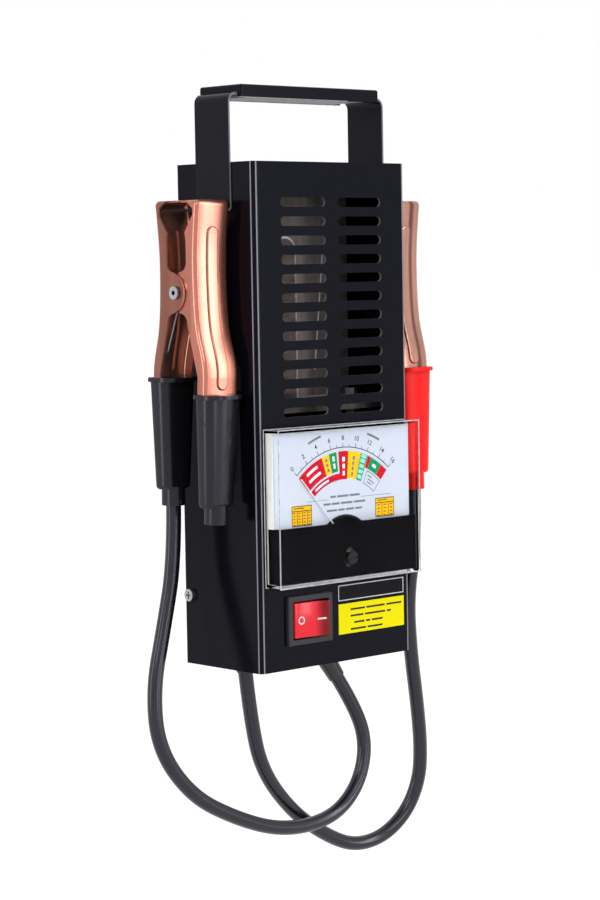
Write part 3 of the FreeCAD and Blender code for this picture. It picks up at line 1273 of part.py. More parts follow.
settle()
for thing in document.Objects:
    if "Invalid" in thing.State or "Error" in thing.State:
        raise RuntimeError("%s did not recompute: %s" % (thing.Label, thing.State))
os.makedirs("parts", exist_ok=True)
for piece in nodes:
    shape = piece.Shape
    if shape.isNull() or not shape.isValid():
        raise RuntimeError("%s has no valid shape" % piece.Label)
    if not shape.Solids:
        raise RuntimeError("%s has no solid" % piece.Label)
    shape.exportStep("parts/%s.step" % piece.Label)
    print("%s: %d solid(s), %.1f mm3" % (piece.Label, len(shape.Solids), shape.Volume))
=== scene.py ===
import math
import bpy
import numpy as np
from mathutils import Matrix, Vector


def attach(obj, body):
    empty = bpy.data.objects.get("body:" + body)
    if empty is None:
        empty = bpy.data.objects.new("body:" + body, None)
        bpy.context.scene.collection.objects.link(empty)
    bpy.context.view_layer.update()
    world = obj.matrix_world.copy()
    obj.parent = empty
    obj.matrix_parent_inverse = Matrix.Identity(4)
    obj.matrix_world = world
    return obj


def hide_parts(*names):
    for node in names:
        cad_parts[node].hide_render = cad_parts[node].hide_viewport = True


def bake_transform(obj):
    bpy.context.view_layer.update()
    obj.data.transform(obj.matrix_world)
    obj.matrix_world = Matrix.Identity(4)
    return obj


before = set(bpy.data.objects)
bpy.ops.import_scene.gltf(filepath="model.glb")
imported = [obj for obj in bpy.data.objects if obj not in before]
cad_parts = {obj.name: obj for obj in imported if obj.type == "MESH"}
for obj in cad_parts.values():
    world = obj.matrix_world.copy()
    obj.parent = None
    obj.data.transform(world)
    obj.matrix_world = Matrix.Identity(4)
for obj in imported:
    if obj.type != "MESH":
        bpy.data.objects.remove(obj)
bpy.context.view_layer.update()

scene = bpy.context.scene
scene.view_settings.view_transform = "Standard"

# Camera: at the photograph's place, in metres from the handle's underside,
# turned by the photograph's azimuth, pitch and roll.
CAMERA_PLACE = Vector((-0.8779, -0.9517, -0.0841))
AZIMUTH, PITCH, ROLL = 0.7463, 0.0762, -0.0168
FOCAL_LENGTH, SENSOR = 99.05, 36.0
ahead = Vector((math.sin(AZIMUTH) * math.cos(PITCH), math.cos(AZIMUTH) * math.cos(PITCH), -math.sin(PITCH)))
level = Vector((math.cos(AZIMUTH), -math.sin(AZIMUTH), 0))
upward = level.cross(ahead)
right = math.cos(ROLL) * level + math.sin(ROLL) * upward
upright = -math.sin(ROLL) * level + math.cos(ROLL) * upward
lens = bpy.data.cameras.new("camera")
lens.lens = FOCAL_LENGTH
lens.sensor_width = SENSOR
camera = bpy.data.objects.new("camera", lens)
turn_to = Matrix((right, upright, -ahead)).transposed().to_4x4()
camera.matrix_world = Matrix.Translation(CAMERA_PLACE) @ turn_to
scene.collection.objects.link(camera)
scene.camera = camera

# Studio: a white surround, dimmer as a light than where it is seen, two tall
# strip lamps for the lines on the case's folds and two soft lamps in front.
SURROUND_LIT, SURROUND_SEEN = 0.46, 1.0
LAMP_TARGET = Vector((0, 0, -0.17))
LAMPS = (
    ("left_strip", (-1.45, 0.5, 0.2), (0.3, 1.3), 6),
    ("front_strip", (-0.07, -1.55, 0.2), (0.3, 1.4), 6),
    ("right_soft", (0.84, -1.5, 0.4), (0.36, 1.7), 15),
    ("left_soft", (-1.3, -0.55, 0.5), (0.4, 0.6), 4),
)


def calc(tree, operation, *values):
    """The output of a Math node whose inputs are sockets or plain numbers."""
    node = tree.nodes.new("ShaderNodeMath")
    node.operation = operation
    for socket, value in zip(node.inputs, values):
        if isinstance(value, (int, float)):
            socket.default_value = value
        else:
            tree.links.new(value, socket)
    return node.outputs[0]


def spread(tree, value, low, high, start=0.0, end=1.0):
    """A value between start and end, carried over in proportion to between low and high."""
    node = tree.nodes.new("ShaderNodeMapRange")
    for name, number in (("From Min", start), ("From Max", end), ("To Min", low), ("To Max", high)):
        node.inputs[name].default_value = number
    tree.links.new(value, node.inputs["Value"])
    return node.outputs["Result"]


def looked_at(tree):
    """One for rays that look at a surface, straight or by way of metal and glass, and nought for light."""
    rays = tree.nodes.new("ShaderNodeLightPath").outputs
    straight = calc(tree, "MAXIMUM", rays["Is Camera Ray"], rays["Is Glossy Ray"])
    return calc(tree, "MAXIMUM", straight, rays["Is Transmission Ray"])


world = bpy.data.worlds.new("surround")
scene.world = world
world.use_nodes = True
sky = world.node_tree
sky.nodes.clear()
background = sky.nodes.new("ShaderNodeBackground")
background.inputs["Color"].default_value = (1, 1, 1, 1)
sky.links.new(spread(sky, looked_at(sky), SURROUND_LIT, SURROUND_SEEN), background.inputs["Strength"])
sky_out = sky.nodes.new("ShaderNodeOutputWorld")
sky.links.new(background.outputs[0], sky_out.inputs["Surface"])
for name, place, size, power in LAMPS:
    light = bpy.data.lights.new(name, "AREA")
    light.shape = "RECTANGLE"
    light.size, light.size_y = size
    light.energy = power
    holder = bpy.data.objects.new(name, light)
    holder.location = place
    holder.rotation_euler = (LAMP_TARGET - Vector(place)).to_track_quat("-Z", "Y").to_euler()
    scene.collection.objects.link(holder)

# Floor: a plain pale plane below the cable loops, white where it is seen, with
# a plain diffuse part that keeps the object's shadow.
FLOOR_DROP, FLOOR_HALF = 0.44, 40.0
FLOOR_MATT, FLOOR_GLOW = (0.45, 0.45, 0.45, 1), 0.82
SQUARE = np.array(((-1, -1), (1, -1), (1, 1), (-1, 1)))
floor_mesh = bpy.data.meshes.new("floor")
floor_mesh.from_pydata(np.insert(SQUARE * FLOOR_HALF, 2, -FLOOR_DROP, axis=1).tolist(), [], [(0, 1, 2, 3)])
floor = bpy.data.objects.new("floor", floor_mesh)
scene.collection.objects.link(floor)
floor_paint = bpy.data.materials.new("floor_paint")
floor_paint.use_nodes = True
ground = floor_paint.node_tree
ground.nodes.clear()
matt = ground.nodes.new("ShaderNodeBsdfDiffuse")
matt.inputs["Color"].default_value = FLOOR_MATT
glow = ground.nodes.new("ShaderNodeEmission")
ground.links.new(spread(ground, looked_at(ground), 0, FLOOR_GLOW), glow.inputs["Strength"])
both = ground.nodes.new("ShaderNodeAddShader")
ground.links.new(matt.outputs[0], both.inputs[0])
ground.links.new(glow.outputs[0], both.inputs[1])
ground_out = ground.nodes.new("ShaderNodeOutputMaterial")
ground.links.new(both.outputs[0], ground_out.inputs["Surface"])
floor.data.materials.append(floor_paint)

# Front case: the front panel and both sides are one folded steel sheet, sprayed
# black. Its slots are punched, and pale lines on its folds are painted highlights.
GRAIN_DETAIL, WEAR_DETAIL = 5, 3
GRAIN_STOPS, WEAR_STOPS = (0.3, 0.7), (0.35, 0.65)
LIFT_SHARE, LEAST_ROUGH = 3, 0.02
RELIEF_DEPTH = 0.001
FOLD_TURN, FOLD_SPAN = 0.27, 0.1
SLOT_WALL_FACING = 0.5
SLOT_FIELD = {"X": (0, 0.045), "Y": (-0.0284, 0.0007), "Z": (-0.105, 0.062)}
FOLD_HIGHLIGHT, SLOT_WALL_HIGHLIGHT = (0.3, 0.29, 0.33), (0.2, 0.2, 0.22)
BLUISH = (0.72, 0.72, 1.0)


def noise(tree, vector, scale, detail):
    """The grey value of a noise texture of a scale and detail."""
    node = tree.nodes.new("ShaderNodeTexNoise")
    node.inputs["Scale"].default_value = scale
    node.inputs["Detail"].default_value = detail
    tree.links.new(vector, node.inputs["Vector"])
    return node.outputs["Fac"]


def bump(tree, height, strength, depth):
    """A Bump node whose relief follows a height."""
    node = tree.nodes.new("ShaderNodeBump")
    node.inputs["Strength"].default_value = strength
    node.inputs["Distance"].default_value = depth
    tree.links.new(height, node.inputs["Height"])
    return node


def surface(name, colour, rough, metal=0.0, grain=900.0, tone=0.08, gloss=0.06, relief=0.0025, specular=0.5,
            stretch=(1, 1, 1), wear=0.0, wear_scale=60.0, tint=(1, 1, 1)):
    """A finish on object coordinates: a fine noise varies its colour, gloss and relief,
    and a broad one dulls it."""
    material = bpy.data.materials.new(name)
    material.use_nodes = True
    tree = material.node_tree
    shader = tree.nodes["Principled BSDF"].inputs
    shader["Metallic"].default_value = metal
    shader["Specular IOR Level"].default_value = specular
    shader["Specular Tint"].default_value = (*tint, 1)
    place = tree.nodes.new("ShaderNodeTexCoord")
    scaled = tree.nodes.new("ShaderNodeMapping")
    scaled.inputs["Scale"].default_value = stretch
    tree.links.new(place.outputs["Object"], scaled.inputs["Vector"])
    fine = noise(tree, scaled.outputs[0], grain, GRAIN_DETAIL)
    broad = noise(tree, scaled.outputs[0], wear_scale, WEAR_DETAIL)
    ramp = tree.nodes.new("ShaderNodeValToRGB")
    for stop, position, share in zip(ramp.color_ramp.elements, GRAIN_STOPS, (1 - tone, 1 + tone)):
        stop.position = position
        stop.color = (*[min(1, channel * share) for channel in colour], 1)
    tree.links.new(fine, ramp.inputs["Fac"])
    worn = tree.nodes.new("ShaderNodeMix")
    worn.data_type = "RGBA"
    worn.blend_type = "MULTIPLY"
    worn.inputs["Factor"].default_value = 1
    tree.links.new(ramp.outputs["Color"], worn.inputs["A"])
    tree.links.new(spread(tree, broad, 1 - wear, 1 + wear / LIFT_SHARE, *WEAR_STOPS), worn.inputs["B"])
    tree.links.new(worn.outputs["Result"], shader["Base Color"])
    blurred = calc(tree, "MULTIPLY_ADD", broad, wear, fine)
    smoothest = max(LEAST_ROUGH, rough - gloss)
    tree.links.new(spread(tree, blurred, smoothest, min(1, rough + gloss)), shader["Roughness"])
    tree.links.new(bump(tree, fine, relief, RELIEF_DEPTH).outputs["Normal"], shader["Normal"])
    return material


def overlay(material, factor, colour):
    """A second colour mixed into a finish by a factor of its own graph."""
    tree = material.node_tree
    base = tree.nodes["Principled BSDF"].inputs["Base Color"]
    mix = tree.nodes.new("ShaderNodeMix")
    mix.data_type = "RGBA"
    mix.inputs["B"].default_value = (*colour, 1)
    tree.links.new(factor, mix.inputs["Factor"])
    tree.links.new(base.links[0].from_socket, mix.inputs["A"])
    tree.links.new(mix.outputs["Result"], base)


def sides(tree, kind):
    """The X, Y and Z parts of a point's place, Object, or of the way it faces, Normal."""
    place = tree.nodes.new("ShaderNodeTexCoord")
    split = tree.nodes.new("ShaderNodeSeparateXYZ")
    tree.links.new(place.outputs[kind], split.inputs[0])
    return split.outputs


def dress(material, *nodes):
    """Gives a finish to solids of the frame."""
    for node in nodes:
        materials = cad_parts[node].data.materials
        materials.clear()
        materials.append(material)


paint = surface("case_paint", (0.004, 0.004, 0.007), 0.17, grain=420, gloss=0.04, relief=0.001, specular=0.09,
                tint=BLUISH)
# Painted highlight: pale lines on the folds, where the faces turn between front and side.
facing = sides(paint.node_tree, "Normal")
turned = calc(paint.node_tree, "ABSOLUTE", calc(paint.node_tree, "MULTIPLY", facing["X"], facing["Y"]))
overlay(paint, calc(paint.node_tree, "COMPARE", turned, FOLD_TURN, FOLD_SPAN), FOLD_HIGHLIGHT)
# Painted highlight: the slots' walls in the front panel are painted a lighter grey.
punched = calc(paint.node_tree, "COMPARE", facing["Y"], 0, SLOT_WALL_FACING)
spot = sides(paint.node_tree, "Object")
for axis, (middle, half) in SLOT_FIELD.items():
    inside = calc(paint.node_tree, "COMPARE", spot[axis], middle, half)
    punched = calc(paint.node_tree, "MULTIPLY", punched, inside)
overlay(paint, punched, SLOT_WALL_HIGHLIGHT)
dress(paint, "front_case")

# Rear cover: the back, top and bottom, one sheet in the same black paint, held
# by plated screws through the case's sides.
dress(paint, "rear_cover")
dress(surface("dark_screw", (0.4, 0.4, 0.42), 0.3, metal=1.0, grain=900, wear=0.3), "cover_screws")

# Handle strap: a bent steel strip in black paint, with a painted grey highlight
# on its cut edges, which carries the two lugs that the clamps hang on.
CUT_EDGE_FACING, EDGE_HIGHLIGHT_GREY = 0.85, (0.2, 0.19, 0.215)
strap_paint = surface("strap_paint", (0.006, 0.0058, 0.008), 0.22, grain=420, relief=0.0013, specular=0.13,
                      tint=BLUISH)
# Painted highlight: the cut edges, which face the front and back, are painted grey.
cut_edge = calc(strap_paint.node_tree, "ABSOLUTE", sides(strap_paint.node_tree, "Normal")["Y"])
overlay(strap_paint, calc(strap_paint.node_tree, "GREATER_THAN", cut_edge, CUT_EDGE_FACING), EDGE_HIGHLIGHT_GREY)
dress(strap_paint, "handle_strap")

# Handle grip: a black moulded cap pressed over the strap's top. A pale strip
# under it, between its two lips, is a painted reflection of the floor.
HANG = 292.0
UNDERSIDE_MIDDLE, UNDERSIDE_HALF = (0, 0.5), np.array((42.5, 12.7))
UNDERSIDE_LEVELS = ((290.7, 0.6), (291.8, 0.0))


def in_frame(places):
    """Millimetres from the case's bottom centre as metres from the handle's underside."""
    return (np.asarray(places, float) - (0, 0, HANG)) / 1000


def skin(rings, capped=True, closed=False):
    """Rings of points, and a face between each two rings and two points along them;
    the ends are capped flat."""
    rows, around = rings.shape[:2]
    index = np.arange(rows * around).reshape(rows, around)
    lower = np.vstack((index, index[:1])) if closed else index
    ahead_of = np.roll(lower, -1, axis=1)
    faces = np.stack((lower[:-1], ahead_of[:-1], ahead_of[1:], lower[1:]), axis=-1).reshape(-1, 4).tolist()
    if capped:
        faces += [index[0, ::-1].tolist(), index[-1].tolist()]
    return rings, faces


def piece_mesh(name, *parts):
    """One mesh of several parts, each given by its points in the case's millimetres and its faces."""
    places = []
    faces = []
    count = 0
    for part_places, part_faces in parts:
        places.append(part_places.reshape(-1, 3))
        faces += [[count + corner for corner in face] for face in part_faces]
        count += len(places[-1])
    mesh = bpy.data.meshes.new(name)
    mesh.from_pydata(in_frame(np.concatenate(places)).tolist(), [], faces)
    return mesh


def add(name, data, material, body="case"):
    """A new piece of the object: named, given its finish, and riding on a body when one is given."""
    piece = bpy.data.objects.new(name, data)
    scene.collection.objects.link(piece)
    data.materials.append(material)
    if body:
        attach(piece, body)
    return piece


dress(surface("handle_plastic", (0.006, 0.006, 0.009), 0.2, grain=1500, relief=0.0025, specular=0.09,
              tint=BLUISH), "handle_grip")
# Painted reflection: a pale strip under the cap stands in for the floor seen in its underside.
underside_reflection = surface("underside_reflection", (0.8, 0.72, 0.8), 0.5, grain=900, tone=0.1, relief=0.0063, specular=0.3)
underside_rings = [np.insert(UNDERSIDE_MIDDLE + SQUARE * (UNDERSIDE_HALF - inset), 2, height, axis=1)
             for height, inset in UNDERSIDE_LEVELS]
add("underside_reflection_strip", piece_mesh("underside_reflection_strip", skin(np.array(underside_rings))), underside_reflection)

# Load element: a bare steel ribbon bent to a hairpin behind the left slots,
# bolted at its feet to an insulating board.
dress(surface("ribbon_steel", (0.8, 0.72, 0.7), 0.45, metal=0.1, grain=300, stretch=(1, 1, 4), wear=0.4),
      "load_element")
dress(surface("board", (0.11, 0.095, 0.08), 0.6, grain=500, tone=0.25, wear=0.3, specular=0.3),
      "element_board")
bright_steel = surface("bright_steel", (0.42, 0.44, 0.48), 0.22, metal=1.0, grain=700, wear=0.1)
dress(bright_steel, "element_bolts")

# Heat shield: a dull plated sheet behind the ribbon, with a bright slanting
# line laid on it as a painted highlight.
SHIELD_HIGHLIGHT_FOOT, SHIELD_HIGHLIGHT_TOP = (21.0, 7.8, 150.0), (27.9, 7.8, 212.0)
SHIELD_HIGHLIGHT_SIDES = np.array(((-0.5, 0, 0), (0.5, 0, 0)))


def grid(places):
    """Points in rows and columns, and a face in each cell between them."""
    rows, columns = places.shape[:2]
    index = np.arange(rows * columns).reshape(rows, columns)
    faces = np.stack((index[:-1, :-1], index[:-1, 1:], index[1:, 1:], index[1:, :-1]), axis=-1)
    return places, faces.reshape(-1, 4).tolist()


dress(surface("shield_steel", (0.27, 0.235, 0.225), 0.6, metal=0.5, grain=300, stretch=(4, 1, 1), wear=0.3),
      "heat_shield")
# Painted highlight: a near-white slanting strip laid on the shield.
shield_highlight_paint = surface("shield_highlight_paint", (0.95, 0.95, 0.97), 0.3, grain=500, tone=0.05)
shield_highlight = grid(np.array((SHIELD_HIGHLIGHT_FOOT, SHIELD_HIGHLIGHT_TOP))[:, None] + SHIELD_HIGHLIGHT_SIDES)
add("shield_highlight_line", piece_mesh("shield_highlight_line", shield_highlight), shield_highlight_paint)

# Meter movement: a cream moulded tray with a steel yoke and core, a wound coil
# that turns with the pointer, brass studs and plated fixings.
dress(surface("cream_plastic", (0.8, 0.8, 0.78), 0.4, grain=800, tone=0.02), "meter_base")
dress(surface("yoke_steel", (0.06, 0.06, 0.065), 0.35, metal=1.0, grain=700),
      "meter_yoke", "meter_core", "meter_bridges")
dress(surface("coil_wire", (0.55, 0.24, 0.14), 0.35, metal=1.0, grain=1400, relief=0.0125), "moving_coil")
dress(surface("pointer_paint", (0.6, 0.64, 0.7), 0.4, grain=900), "pointer")
brass = surface("brass", (0.6, 0.42, 0.18), 0.3, metal=1.0, grain=700)
dress(brass, "meter_studs")
dress(bright_steel, "meter_fixings")

# Dial: a thin plate in pale blue-grey paint, printed with a scale, coloured
# bands, plain bars and two small tables. On the arc, a patch runs from one value
# of the scale to another and between two radii.
AXIS_Z = 63.5
DIAL_FRONT, LAYER = -34.6, 0.05
FIRST_LAYER, SECOND_LAYER = DIAL_FRONT - LAYER, DIAL_FRONT - 2 * LAYER
SCALE_TOP, HALF_SWEEP, SCALE_RADIUS = 16, math.radians(42), 48.6
SCALE_LINE = 0.22
STEPS_PER_UNIT = 4
LONG_MARK, SHORT_MARK = (0.04, 2.2), (0.03, 1.6)
WIDE_RING, DEEP_RING, LOW_RING = (36.4, 46.6), (32, 46.6), (32, 35.4)
FULL_RING, TOP_RING = (32.5, 46.6), (40.2, 46.6)
BANDS = (
    ("red", (0.5, 0.004, 0.02), ((0, 4.4, WIDE_RING), (0.1, 7.2, LOW_RING), (7.2, 8.9, DEEP_RING),
                                 (12.3, 12.9, TOP_RING), (14.8, 16, TOP_RING))),
    ("yellow", (0.86, 0.47, 0.004), ((4.4, 5.6, WIDE_RING), (8.9, 11, FULL_RING))),
    ("green", (0.004, 0.25, 0.09), ((5.6, 6.9, WIDE_RING), (12.9, 14.8, TOP_RING))),
    ("teal", (0.02, 0.32, 0.2), ((11, 12.3, FULL_RING),)),
)
BOX_EDGES = ((12.9, 15.95, 32.2, 32.5), (12.9, 15.95, 39, 39.3), (12.88, 12.96, 32.2, 39.3),
             (15.89, 15.97, 32.2, 39.3))
BOX_BARS = ((13.3, 14.3, 37, 37.6), (13.6, 15.2, 35.4, 36), (13.6, 14.8, 33.8, 34.4))
BAR_ROWS = ((87, ((-9.5, 4), (-4.7, 8.2), (4.3, 7.3))),
            (83.4, ((-14.3, 5), (-8.5, 5.6), (-2.1, 8.4), (7.1, 8.4))),
            (80, ((-12, 7.2), (-4, 4.6), (1.4, 6), (8.2, 4.8))))
BAR_HEIGHT = 1.1
RULE_Z, RULE_HEIGHT, RULE_SPANS = 85.6, 0.25, ((-25.7, 15.4), (12.4, 21.8))
UPPER_STARTS, UPPER_SPAN, UPPER_RING = (3.2, 11.4), 1.8, (56.6, 57.8)
# Each table: left, low, width, height, columns and rows.
TABLES = ((-36.5, 73.7, 13.9, 10.5, 4, 5), (22.7, 74, 13.7, 10, 3, 4))
TABLE_LINE, TABLE_MARK, TABLE_HEAD = 0.45, 0.5, 0.72
HEAD_MARK_AT, HEAD_MARK_WIDE = (0.12, 0.85), 0.5
CELL_MARK_AT, CELL_MARK_WIDE = (0.3, 0.35), 0.4
LIGHT_BARS = ((1.2, 3.3, 43, 44.4), (1, 3.5, 39.2, 40.6), (1.2, 4.6, 33.2, 34.3), (6.1, 6.45, 38.4, 41),
              (6.1, 6.45, 42.2, 44.8), (13.5, 14.2, 42.6, 44.2))
# Each stack: two values, a bar's height and the bars' lower radii.
LIGHT_STACK = (7.85, 8.3, 2.4, (34, 37.6, 41.2))
DARK_STACKS = ((4.8, 5.2, 1.6, (38, 40.6, 43.2)), (9.75, 10.15, 1.9, (34, 36.8, 39.6, 42.4)))
PALE_STACK = (11.2, 12.1, 1.9, (33.6, 36.4, 39.2, 42, 44.4))


def reading(value):
    """The pointer's angle from upright at a value of the scale, in proportion to it."""
    return HALF_SWEEP * (2 * value / SCALE_TOP - 1)


def band(low, high, inner, outer):
    """A sector between two values and two radii: x is r sin a and z is r cos a from the pointer's axis."""
    values = np.linspace(low, high, max(1, math.ceil((high - low) * STEPS_PER_UNIT)) + 1)
    angle, radius = np.meshgrid(reading(values), (inner, outer))
    return np.stack((radius * np.sin(angle), AXIS_Z + radius * np.cos(angle)), axis=-1)


def stack(start, end, height, floors):
    """Short sectors between two values, one above the other, each of a height from its own radius."""
    return [band(start, end, low, low + height) for low in floors]


def bar(left, low, wide, high):
    """A rectangle from its lower left corner."""
    return np.stack(np.meshgrid((left, left + wide), (low, low + high)), axis=-1)


def border(left, low, wide, high, line):
    """Four bars round a rectangle, inside its edge."""
    clear_height = high - 2 * line
    return [bar(left, low, wide, line),
            bar(left, low + high - line, wide, line),
            bar(left, low + line, line, clear_height),
            bar(left + wide - line, low + line, line, clear_height)]


def row_bars(rows, height):
    """Bars in rows: each row has its middle height, and the left ends and widths of its bars."""
    return [bar(left, middle - height / 2, wide, height) for middle, spans in rows for left, wide in spans]


def printed(name, patches, material, depth):
    """Flat patches as one thin layer at a depth, facing the front."""
    parts = [grid(np.insert(patch, 1, depth, axis=-1)) for patch in patches]
    return add(name, piece_mesh(name, *parts), material)


def ink(name, colour, rough=0.5):
    """A printed colour, with a little unevenness."""
    return surface(name, colour, rough, grain=1800, tone=0.05, relief=0.0013, specular=0.06)


dress(surface("dial_paint", (0.505, 0.55, 0.645), 0.55, grain=700, tone=0.01, relief=0.0013, specular=0.2),
      "dial_plate")
dial_black = ink("dial_black", (0.02, 0.02, 0.024))
dial_grey = ink("dial_grey", (0.16, 0.17, 0.19))
band_inks = {}
for name, colour, spans in BANDS:
    band_inks[name] = ink("dial_" + name, colour)
    sectors = [band(low, high, *ring) for low, high, ring in spans]
    printed("bands_" + name, sectors, band_inks[name], FIRST_LAYER)
marks = [band(0, SCALE_TOP, SCALE_RADIUS - SCALE_LINE, SCALE_RADIUS + SCALE_LINE)]
for value in range(SCALE_TOP + 1):
    half_width, reach = SHORT_MARK if value % 2 else LONG_MARK
    marks.append(band(value - half_width, value + half_width, SCALE_RADIUS, SCALE_RADIUS + reach))
printed("scale_marks", marks + [band(*edge) for edge in BOX_EDGES], dial_black, FIRST_LAYER)
grey_bars = row_bars(BAR_ROWS, BAR_HEIGHT)
grey_bars += [bar(left, RULE_Z, wide, RULE_HEIGHT) for left, wide in RULE_SPANS]
grey_bars += [band(low, low + UPPER_SPAN, *UPPER_RING) for low in UPPER_STARTS]
printed("grey_bars", grey_bars + [band(*edges) for edges in BOX_BARS], dial_grey, FIRST_LAYER)
printed("table_fields", [bar(*table[:4]) for table in TABLES], band_inks["yellow"], FIRST_LAYER)
lines = []
for left, low, wide, high, columns, rows in TABLES:
    head = high * TABLE_HEAD
    cell_wide, cell_high = wide / columns, head / rows
    lines += border(left, low, wide, high, TABLE_LINE)
    lines.append(bar(left, low + head, wide, TABLE_LINE))
    mark_left = left + wide * HEAD_MARK_AT[0]
    mark_low = low + high * HEAD_MARK_AT[1]
    lines.append(bar(mark_left, mark_low, wide * HEAD_MARK_WIDE, TABLE_MARK))
    lines += [bar(left + cell_wide * i, low, TABLE_LINE, head) for i in range(1, columns)]
    lines += [bar(left + cell_wide * (i + CELL_MARK_AT[0]), low + cell_high * (j + CELL_MARK_AT[1]),
                  cell_wide * CELL_MARK_WIDE, TABLE_MARK) for i in range(columns) for j in range(rows)]
printed("table_lines", lines, dial_black, SECOND_LAYER)
light_bars = [band(*edges) for edges in LIGHT_BARS] + stack(*LIGHT_STACK)
printed("light_bars", light_bars, ink("dial_white", (0.78, 0.82, 0.88)), SECOND_LAYER)
dark_bars = stack(*DARK_STACKS[0]) + stack(*DARK_STACKS[1])
printed("dark_bars", dark_bars, dial_grey, SECOND_LAYER)
printed("pale_bars", stack(*PALE_STACK), ink("dial_pale", (0.3, 0.62, 0.5)), SECOND_LAYER)

# Dial numbers: plain printed figures round the scale, each turned to stand on
# the arc at its own value.
NUMBER_RADIUS, NUMBER_SIZE, NUMBER_WEIGHT = 52.2, 3.6, 0.035
NUMBER_STEPS, NUMBER_EVERY = 3, 2


def figure(value):
    """A number's flat outline, turned by its reading and set on the arc: its points and its faces."""
    writing = bpy.data.curves.new("writing", "FONT")
    writing.body = str(value)
    writing.size = NUMBER_SIZE
    writing.align_x = "CENTER"
    writing.resolution_u = NUMBER_STEPS
    writing.offset = NUMBER_WEIGHT
    writer = bpy.data.objects.new("writer", writing)
    scene.collection.objects.link(writer)
    outline = bpy.data.meshes.new_from_object(writer.evaluated_get(bpy.context.evaluated_depsgraph_get()))
    flat = np.empty(3 * len(outline.vertices))
    outline.vertices.foreach_get("co", flat)
    angle = reading(value)
    turn = np.array(((math.cos(angle), -math.sin(angle)), (math.sin(angle), math.cos(angle))))
    foot = NUMBER_RADIUS * turn[1] + (0, AXIS_Z)
    faces = [list(face.vertices) for face in outline.polygons]
    bpy.data.objects.remove(writer)
    bpy.data.curves.remove(writing)
    bpy.data.meshes.remove(outline)
    return np.insert(flat.reshape(-1, 3)[:, :2] @ turn + foot, 1, FIRST_LAYER, axis=1), faces


figures = [figure(value) for value in range(0, SCALE_TOP + 1, NUMBER_EVERY)]
add("scale_figures", piece_mesh("scale_figures", *figures), dial_black)

# Meter mask: a glossy black moulding over the movement, with wings along the
# tray's sides, a rounded hood over the pointer's axis and the zero screw.
TRAY_SIDE, WING_DEPTHS, WING_HEIGHTS = 48.3, (-38.7, -30.2), (45.5, 73.5)
HOOD_HALF, HOOD_LOW, HOOD_TOP, HOOD_FRONT, HOOD_RIM = 13.0, 72.8, 77.4, -34.9, 1.0
HOOD_STEPS = 24
hood_radius = (HOOD_HALF ** 2 + (HOOD_TOP - HOOD_LOW) ** 2) / (2 * (HOOD_TOP - HOOD_LOW))


def hood_arc(inset):
    """The hood's rounded top as an arc through its two feet and its crown, drawn in by an inset."""
    turn = math.asin(HOOD_HALF / hood_radius) * np.linspace(-1, 1, HOOD_STEPS + 1)
    reach = hood_radius - inset
    return np.stack((reach * np.sin(turn), HOOD_TOP - hood_radius + reach * np.cos(turn)), axis=-1)


def wing(way):
    """One side's wing: depth by height at the tray's side, facing outwards."""
    y, z = np.meshgrid(WING_DEPTHS[::way], WING_HEIGHTS)
    return grid(np.stack((np.full(y.shape, way * TRAY_SIDE), y, z), axis=-1))


black_plastic = surface("black_plastic", (0.002, 0.002, 0.003), 0.2, grain=1200, relief=0.001, specular=0.01)
dress(black_plastic, "meter_mask")
button_plastic = surface("button_plastic", (0.004, 0.004, 0.005), 0.12, grain=1200, relief=0.0013,
                         specular=0.25)
dress(button_plastic, "zero_screw")
add("mask_wings", piece_mesh("mask_wings", wing(-1), wing(1)), black_plastic)
crown_line = hood_arc(0)
foot_line = np.stack((crown_line[:, 0], np.full(len(crown_line), HOOD_LOW)), axis=-1)
printed("hood", [np.array((foot_line, crown_line))], black_plastic, HOOD_FRONT)
printed("hood_rim", [np.array((hood_arc(HOOD_RIM), crown_line))], button_plastic, HOOD_FRONT - LAYER)

# Meter cover: a clear moulded box over the dial. Pale beads along its rounded
# edges and a pale sheet under its top are painted highlights.
COVER_MIDDLE, COVER_HALF = np.array((0, 83.6)), np.array((49.9, 39.9))
COVER_LOOPS = (-40.5, -29.4)
EDGE_RADIUS, EDGE_SIDES = 0.28, 8
SHEEN_DROP = 0.2
CLEAR_IOR, CLEAR_NOISE, CLEAR_DETAIL, CLEAR_ROUGH = 1.07, 90, 2, (0.015, 0.045)


def cover_edge(depth):
    """A round bead along the cover's outline, mitred at its four corners, as a painted highlight on the edge.
    """
    turn = 2 * math.pi * np.arange(EDGE_SIDES) / EDGE_SIDES
    corners = COVER_MIDDLE + SQUARE * COVER_HALF
    flat = corners[:, None] + SQUARE[:, None] * (EDGE_RADIUS * np.cos(turn))[:, None]
    depths = np.broadcast_to(depth + EDGE_RADIUS * np.sin(turn), flat.shape[:2])
    return skin(np.stack((flat[..., 0], depths, flat[..., 1]), axis=-1), capped=False, closed=True)


clear = bpy.data.materials.new("clear_plastic")
clear.use_nodes = True
clear_tree = clear.node_tree
clear_shader = clear_tree.nodes["Principled BSDF"].inputs
clear_shader["Base Color"].default_value = (1, 1, 1, 1)
clear_shader["IOR"].default_value = CLEAR_IOR
clear_shader["Transmission Weight"].default_value = 1.0
clear_place = clear_tree.nodes.new("ShaderNodeTexCoord")
clear_grey = noise(clear_tree, clear_place.outputs["Object"], CLEAR_NOISE, CLEAR_DETAIL)
clear_tree.links.new(spread(clear_tree, clear_grey, *CLEAR_ROUGH), clear_shader["Roughness"])
dress(clear, "meter_cover")
# Painted highlight: pale beads round the cover's front and back outlines.
cover_highlight_paint = surface("cover_highlight_paint", (0.62, 0.63, 0.68), 0.2, grain=300, tone=0.3)
add("cover_edge_highlights", piece_mesh("cover_edge_highlights", *[cover_edge(depth) for depth in COVER_LOOPS]), cover_highlight_paint)
